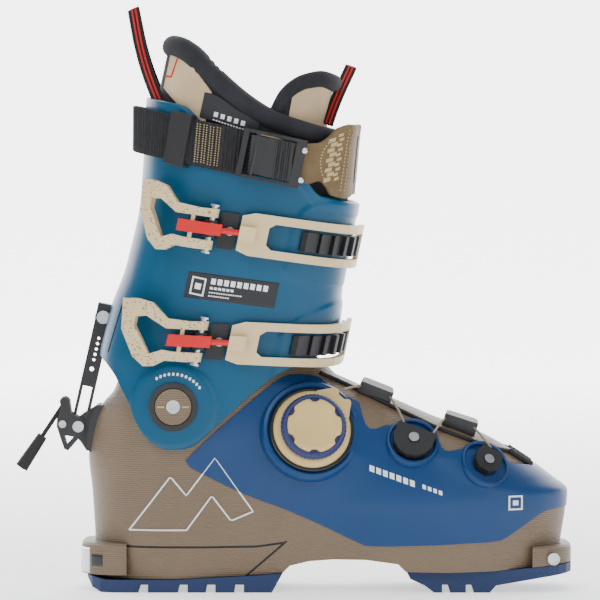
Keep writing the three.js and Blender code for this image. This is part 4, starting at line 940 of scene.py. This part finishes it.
def keeper_ring(s, outline):
    """One outline of the slanting keeper at length s, as 60 points."""
    corners = np.array(outline + outline[:1])
    spread = np.linspace(0, len(outline), 61)[:-1]
    loop = np.stack([np.interp(spread, range(len(corners)), corners[:, k]) for k in (0, 1)], axis=1)
    return np.array([strap_at(s + 0.09 * (t - 14), STRAP_LOW + t, n) for t, n in loop])


keeper_rings = [keeper_ring(s, KEEPER_OUTSIDE) for s in (KEEPER_START, KEEPER_END)]
keeper_rings += [keeper_ring(s, KEEPER_INSIDE) for s in (KEEPER_END, KEEPER_START)]
keeper = closed_grid("strap_loop_keeper", keeper_rings, MAT["soft_black"], 30)
add(keeper, "cuff", "black_rubber", "strap_keeper")

RIBS_START, RIB_PITCH = 9.5, 2.7


def cam_face(s, t):
    """A smooth part, gently arched, then upright ribs."""
    d = s - CAM_S
    if d < RIBS_START:
        return np.full(np.shape(t), 10.4 - 0.012 * (d - 4) ** 2)
    d -= RIBS_START
    return np.full(np.shape(t), 10.1 - 0.09 * d + 0.55 * math.sin(2 * math.pi * d / RIB_PITCH))


cam_s = np.arange(CAM_S - 3.5, CAM_S + 20, 0.25)
cam = strip("strap_cam_block", strap_at, cam_s, STRAP_LOW + 2.2, STRAP_HIGH - 1.2, 6.6, cam_face,
            MAT["black"], 12)
tooth_s = np.linspace(CAM_S - 4.0, CAM_S - 2, 4)
for t in np.arange(STRAP_LOW + 3.4, STRAP_HIGH - 3, 2.2):
    boolean(cam, "UNION", strip("tooth", strap_at, tooth_s, t, t + 1.1, 7.2, 9.6, MAT["black"], 4))
add(cam, "strap_cam", "black_plastic", "strap_cam_lever")
small_head = [(1.9, -0.6), (1.9, 0.4), (1.5, 0.9), (0.8, 1.1)]
add_rivets("cam_rivet", CAM_S + 26.5, 5, 7.0, small_head, 32)

# ---- prints and labels, and a painted highlight over the pivot ----
def on_cuff(u, w, n):
    return beside(u, w, n)


label_u = np.linspace(-8, 49, 40)
label_low, label_high = 68.7 + 0.085 * (label_u + 7), 85.6 + 0.075 * (label_u + 8)
label = strip("cuff_label", on_cuff, label_u, label_low, label_high, -0.5, 0.35, MAT["label"])
add(label, "cuff", "black_plastic")
marks = [(-5, 4, 82, 83), (-5, 4, 71.6, 72.6), (-5, -4, 72.6, 82), (3, 4, 72.6, 82), (-2.4, 1.4, 75.4, 79.2)]
marks += row(9, 7, 4.1, 2.9, 80.3, 84, 0.3) + row(6, 7, 2.6, 1.9, 77, 78.6, 0.2)
marks += row(14, 7, 1.5, 1.0, 74.6, 75.4, 0.12) + row(9, 7, 1.5, 1.0, 72.4, 73.2, 0.12)
add(blocks("cuff_label_print", on_cuff, marks, 0.2, 0.5, MAT["white"]), "cuff", "cream_plastic")
# A painted highlight: a row of white marks along the top of the ring round the pivot, where the light from
# above falls on the boss.
HIGHLIGHT_RADIUS = 20.6
ring_highlight_marks = []
for angle in np.radians(132 - 7.6 * np.arange(12)):
    u, w = HIGHLIGHT_RADIUS * math.cos(angle), HIGHLIGHT_RADIUS * math.sin(angle)
    ring_highlight_marks.append((u - 0.7, u + 0.7, w - 0.9, w + 0.9))
add(blocks("pivot_ring_highlight", on_cuff, ring_highlight_marks, 1.0, 1.55, MAT["white"]), "cuff", "cream_plastic")


def on_forefoot(x, z, n):
    """A point on the forefoot shell, which lies 0.7 outside the lower shell's surface."""
    return np.array(on_shell(float(x), float(z), float(n) + 0.7)[0])


def downhill(x, z, n):
    """The line of print that runs down along the forefoot."""
    return on_forefoot(x, z - 0.36 * (x - 122), n)


words = row(7, 123, 4.2, 3.0, 78.6, 82.4) + row(4, 156, 3.4, 2.2, 79.6, 82.2)
add(blocks("forefoot_print", downhill, words, -0.3, 0.25, MAT["white"]), "shell", "cream_plastic")
icon = [
    (210, 219, 61, 62), (210, 219, 53, 54), (210, 211, 54, 61), (218, 219, 54, 61), (212.8, 216.2, 56, 59),
]
add(blocks("forefoot_icon", on_forefoot, icon, -0.3, 0.25, MAT["white"]), "shell", "cream_plastic")


# ---- pivot faces ----
def on_pivot(side):
    return lambda x, z, n: np.array([x, side * (52.3 + n), PIVOT_Z + z])


for side, label in SIDES:
    bars = [(-10, -5.6, -0.5, 0.5), (5.6, 10, -0.5, 0.5)]
    bars = blocks(f"pivot_dashes_{label}", on_pivot(side), bars, 0, 0.3, MAT["pale_thread"])
    add(bars, "shell", "cream_plastic")


# ---- heel plate ----
def around_heel(a, z, n):
    """Round the heel rim's corner: a is 0 at its side and a quarter turn at the middle of its back."""
    side = np.sign(a)
    a = np.abs(a)
    bend, past = np.minimum(a, np.pi / 2), np.maximum(a - np.pi / 2, 0)
    x = HEEL_END + HEEL_BEND * (1 - np.sin(bend)) - n
    y = SOLE_HALF - HEEL_BEND * (1 - np.cos(bend)) - HEEL_BEND * past
    x, y, z = np.broadcast_arrays(x, side * y, z)
    return np.stack([x, y, z], axis=-1).astype(float)


for side, label in SIDES:
    guard_a = np.radians(np.linspace(52, 102, 24)) * side
    guard = strip(f"heel_guard_{label}", around_heel, guard_a, 11.6, 27.4, -0.6, 0.55, MAT["steel"], 6)
    add(guard, "shell", "steel")
    window_a = np.radians(np.linspace(28, 47, 12)) * side
    window = strip(f"heel_window_{label}", around_heel, window_a, 16.2, 23.8, -0.6, 0.3, MAT["black"], 5)
    add(window, "shell", "black_plastic")


# ---- lace dial: profiles are (radius, height) ----
def ribbed(angle, radius, height):
    """48 fine ribs round the grip."""
    return 0.16 * math.cos(48 * angle) if height > 7.2 and radius > 15 else 0.0


def notched(angle, radius, height):
    """Six scallops in the cap's rim."""
    if radius < 14.5 or height < 12.5:
        return 0.0
    near = ((angle / (math.pi / 3)) % 1.0) - 0.5
    return -2.0 * math.exp(-((near / 0.15) ** 4))


BASE_PROFILE = [(26.2, -2.6), (26.6, 1.4), (25.8, 2.4), (24.6, 2.2)]
BODY_PROFILE = [(24.2, -0.4), (24.5, 2.6), (24.0, 4.6), (22.6, 6.0), (20.6, 6.5), (19.6, 6.5)]
GRIP_PROFILE = [(18.4, 7.0), (20.2, 7.4), (20.7, 9), (20.3, 13.4), (19.3, 15), (17.6, 15.2), (17.2, 14)]
CAP_PROFILE = [
    (16.4, 11.5), (17.2, 13.6), (17.2, 15.4), (16.6, 16.3), (15.4, 16.8), (13.6, 16.9), (12.8, 16.6),
    (6, 16.5),
]
LUG_OUTLINE = [
    (14, -12.5), (21, -12), (25.4, -9), (29.2, -6.6), (29.8, -4.6), (27.6, -2.2), (27.4, 2.2), (29.8, 4.8),
    (29.2, 7), (25.4, 10), (20, 14), (14, 14),
]
base = lathe("dial_back_ring", DIAL, DIAL_AXIS, BASE_PROFILE, MAT["black"])
add(base, "shell", "black_plastic", "dial_base")
body = lathe("dial_body", DIAL, DIAL_AXIS, BODY_PROFILE, MAT["dial_cream"])
lug_way = Vector((0.67, 0, 0.74))
lug_way = (lug_way - DIAL_AXIS * lug_way.dot(DIAL_AXIS)).normalized()
lug = plate("lug", DIAL, lug_way, DIAL_AXIS.cross(lug_way), LUG_OUTLINE, 0.4, 6.0, MAT["dial_cream"])
boolean(body, "UNION", lug)
bevel(body, 0.7, 3, 35)
add(body, "shell", "cream_plastic", "dial_housing")
grip = lathe("dial_grip_ring", DIAL, DIAL_AXIS, GRIP_PROFILE, MAT["grip_blue"], 288, ribbed)
add(grip, "dial_knob", "blue_plastic", "dial_grip")
cap = lathe("dial_cap_disc", DIAL, DIAL_AXIS, CAP_PROFILE, MAT["dial_cream"], 288, notched)
add(cap, "dial_knob", "cream_plastic", "dial_cap")

# ---- looks of the CAD pieces that stay in view ----
LOOKS = {
    "cream": ["upper_lever", "lower_lever"],
    "cream_plain": ["upper_bail", "lower_bail"],
    "red": ["upper_barrel", "lower_barrel"],
    "sole": ["heel_sole", "toe_sole"],
    "liner": ["liner_foot"],
    "red_cloth": ["footbed"],
    "steel": ["toe_insert", "heel_insert", "upper_rivet", "lower_rivet", "upper_hinge_pin", "lower_hinge_pin",
              "spine_screw", "latch_pin", "lock_pin", "dial_hub", "guide_screw_rear", "guide_screw_front",
              "pivot_screw_lateral", "pivot_screw_medial"],
    "black_steel": ["spine_bar", "latch_bracket", "walk_lever", "strap_cam_frame"],
    "black": ["boot_board", "upper_base", "lower_base", "upper_rack", "lower_rack", "spine_clevis",
              "side_guide_rear", "side_guide_front", "instep_guide_rear", "instep_guide_front",
              "pivot_ring_lateral", "pivot_ring_medial"],
    "soft_black": ["pull_tab"],
    "taupe": ["pivot_cap_lateral", "pivot_cap_medial"],
    "lace": ["lace"],
}
for look, names in LOOKS.items():
    for name in names:
        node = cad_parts[name]
        node.data.materials.clear()
        node.data.materials.append(MAT[look])
        smooth(node, 32)
        if name not in ("lace", "liner_foot", "boot_board", "footbed"):
            bevel(node, 0.45, 2, 32)

# ---- room, lights and camera ----
# A pale floor that curves up into a wall, which glows more the further it is from the boot.
floor = Shader("backdrop", rgb(246, 246, 247), 0.9)
floor.base.inputs["Emission Color"].default_value = (1.0, 1.0, 1.0, 1.0)
away = floor.node("ShaderNodeSeparateXYZ")
floor.link(floor.place, away.inputs["Vector"])
glow = floor.node("ShaderNodeMapRange")
for socket, value in (("From Min", 0.2), ("From Max", 2.2), ("To Min", 0.9), ("To Max", 3.6)):
    glow.inputs[socket].default_value = value
floor.link(away.outputs["Y"], glow.inputs["Value"])
floor.link(glow.outputs["Result"], floor.base.inputs["Emission Strength"])
BEND, BEND_START = 1200, 2200
turn = np.linspace(0.1, math.pi / 2, 14)
profile = [(-3000, 0), (BEND_START, 0)]
profile += [(BEND_START + BEND * math.sin(a), BEND * (1 - math.cos(a))) for a in turn]
profile += [(BEND_START + BEND, 5000)]
points = [(x, y, z) for y, z in profile for x in (-6000, 6000)]
faces = [(2 * i, 2 * i + 1, 2 * i + 3, 2 * i + 2) for i in range(len(profile) - 1)]
finish_mesh("backdrop", points, faces, floor.material, 180)

# Lights and camera are in metres.
world = bpy.data.worlds.new("room")
bpy.context.scene.world = world
world.use_nodes = True
world.node_tree.nodes["Background"].inputs["Color"].default_value = (0.93, 0.95, 1.0, 1)
world.node_tree.nodes["Background"].inputs["Strength"].default_value = 0.5
boot_centre = Vector((0.079, 0, 0.18))
SOFTBOXES = [
    ("key", (-0.8, -1.6, 1.7), (1.2, 1.2), 22),
    ("front_fill", (1.4, -1.5, 0.8), (1.2, 1.2), 10),
    ("top", (0.1, -0.1, 2.0), (1.4, 1.0), 13),
    ("rim", (-1.2, 0.9, 1.2), (0.8, 0.8), 8),
]
for name, place, size, power in SOFTBOXES:
    light = bpy.data.lights.new(name, "AREA")
    light.shape = "RECTANGLE"
    light.size, light.size_y = size
    light.energy = power
    made = bpy.data.objects.new(name, light)
    bpy.context.scene.collection.objects.link(made)
    made.location = place
    made.rotation_euler = (boot_centre - Vector(place)).to_track_quat("-Z", "Y").to_euler()

lens = bpy.data.cameras.new("camera")
lens.lens = 283
lens.sensor_width = 36
lens.clip_end = 50
camera = bpy.data.objects.new("camera", lens)
bpy.context.scene.collection.objects.link(camera)
target = Vector((0.0794, 0, 0.1832))
elevation, distance = math.radians(2.5), 3.0
camera.location = target + Vector((0, -math.cos(elevation), math.sin(elevation))) * distance
camera.rotation_euler = (target - camera.location).to_track_quat("-Z", "Y").to_euler()
bpy.context.scene.camera = camera
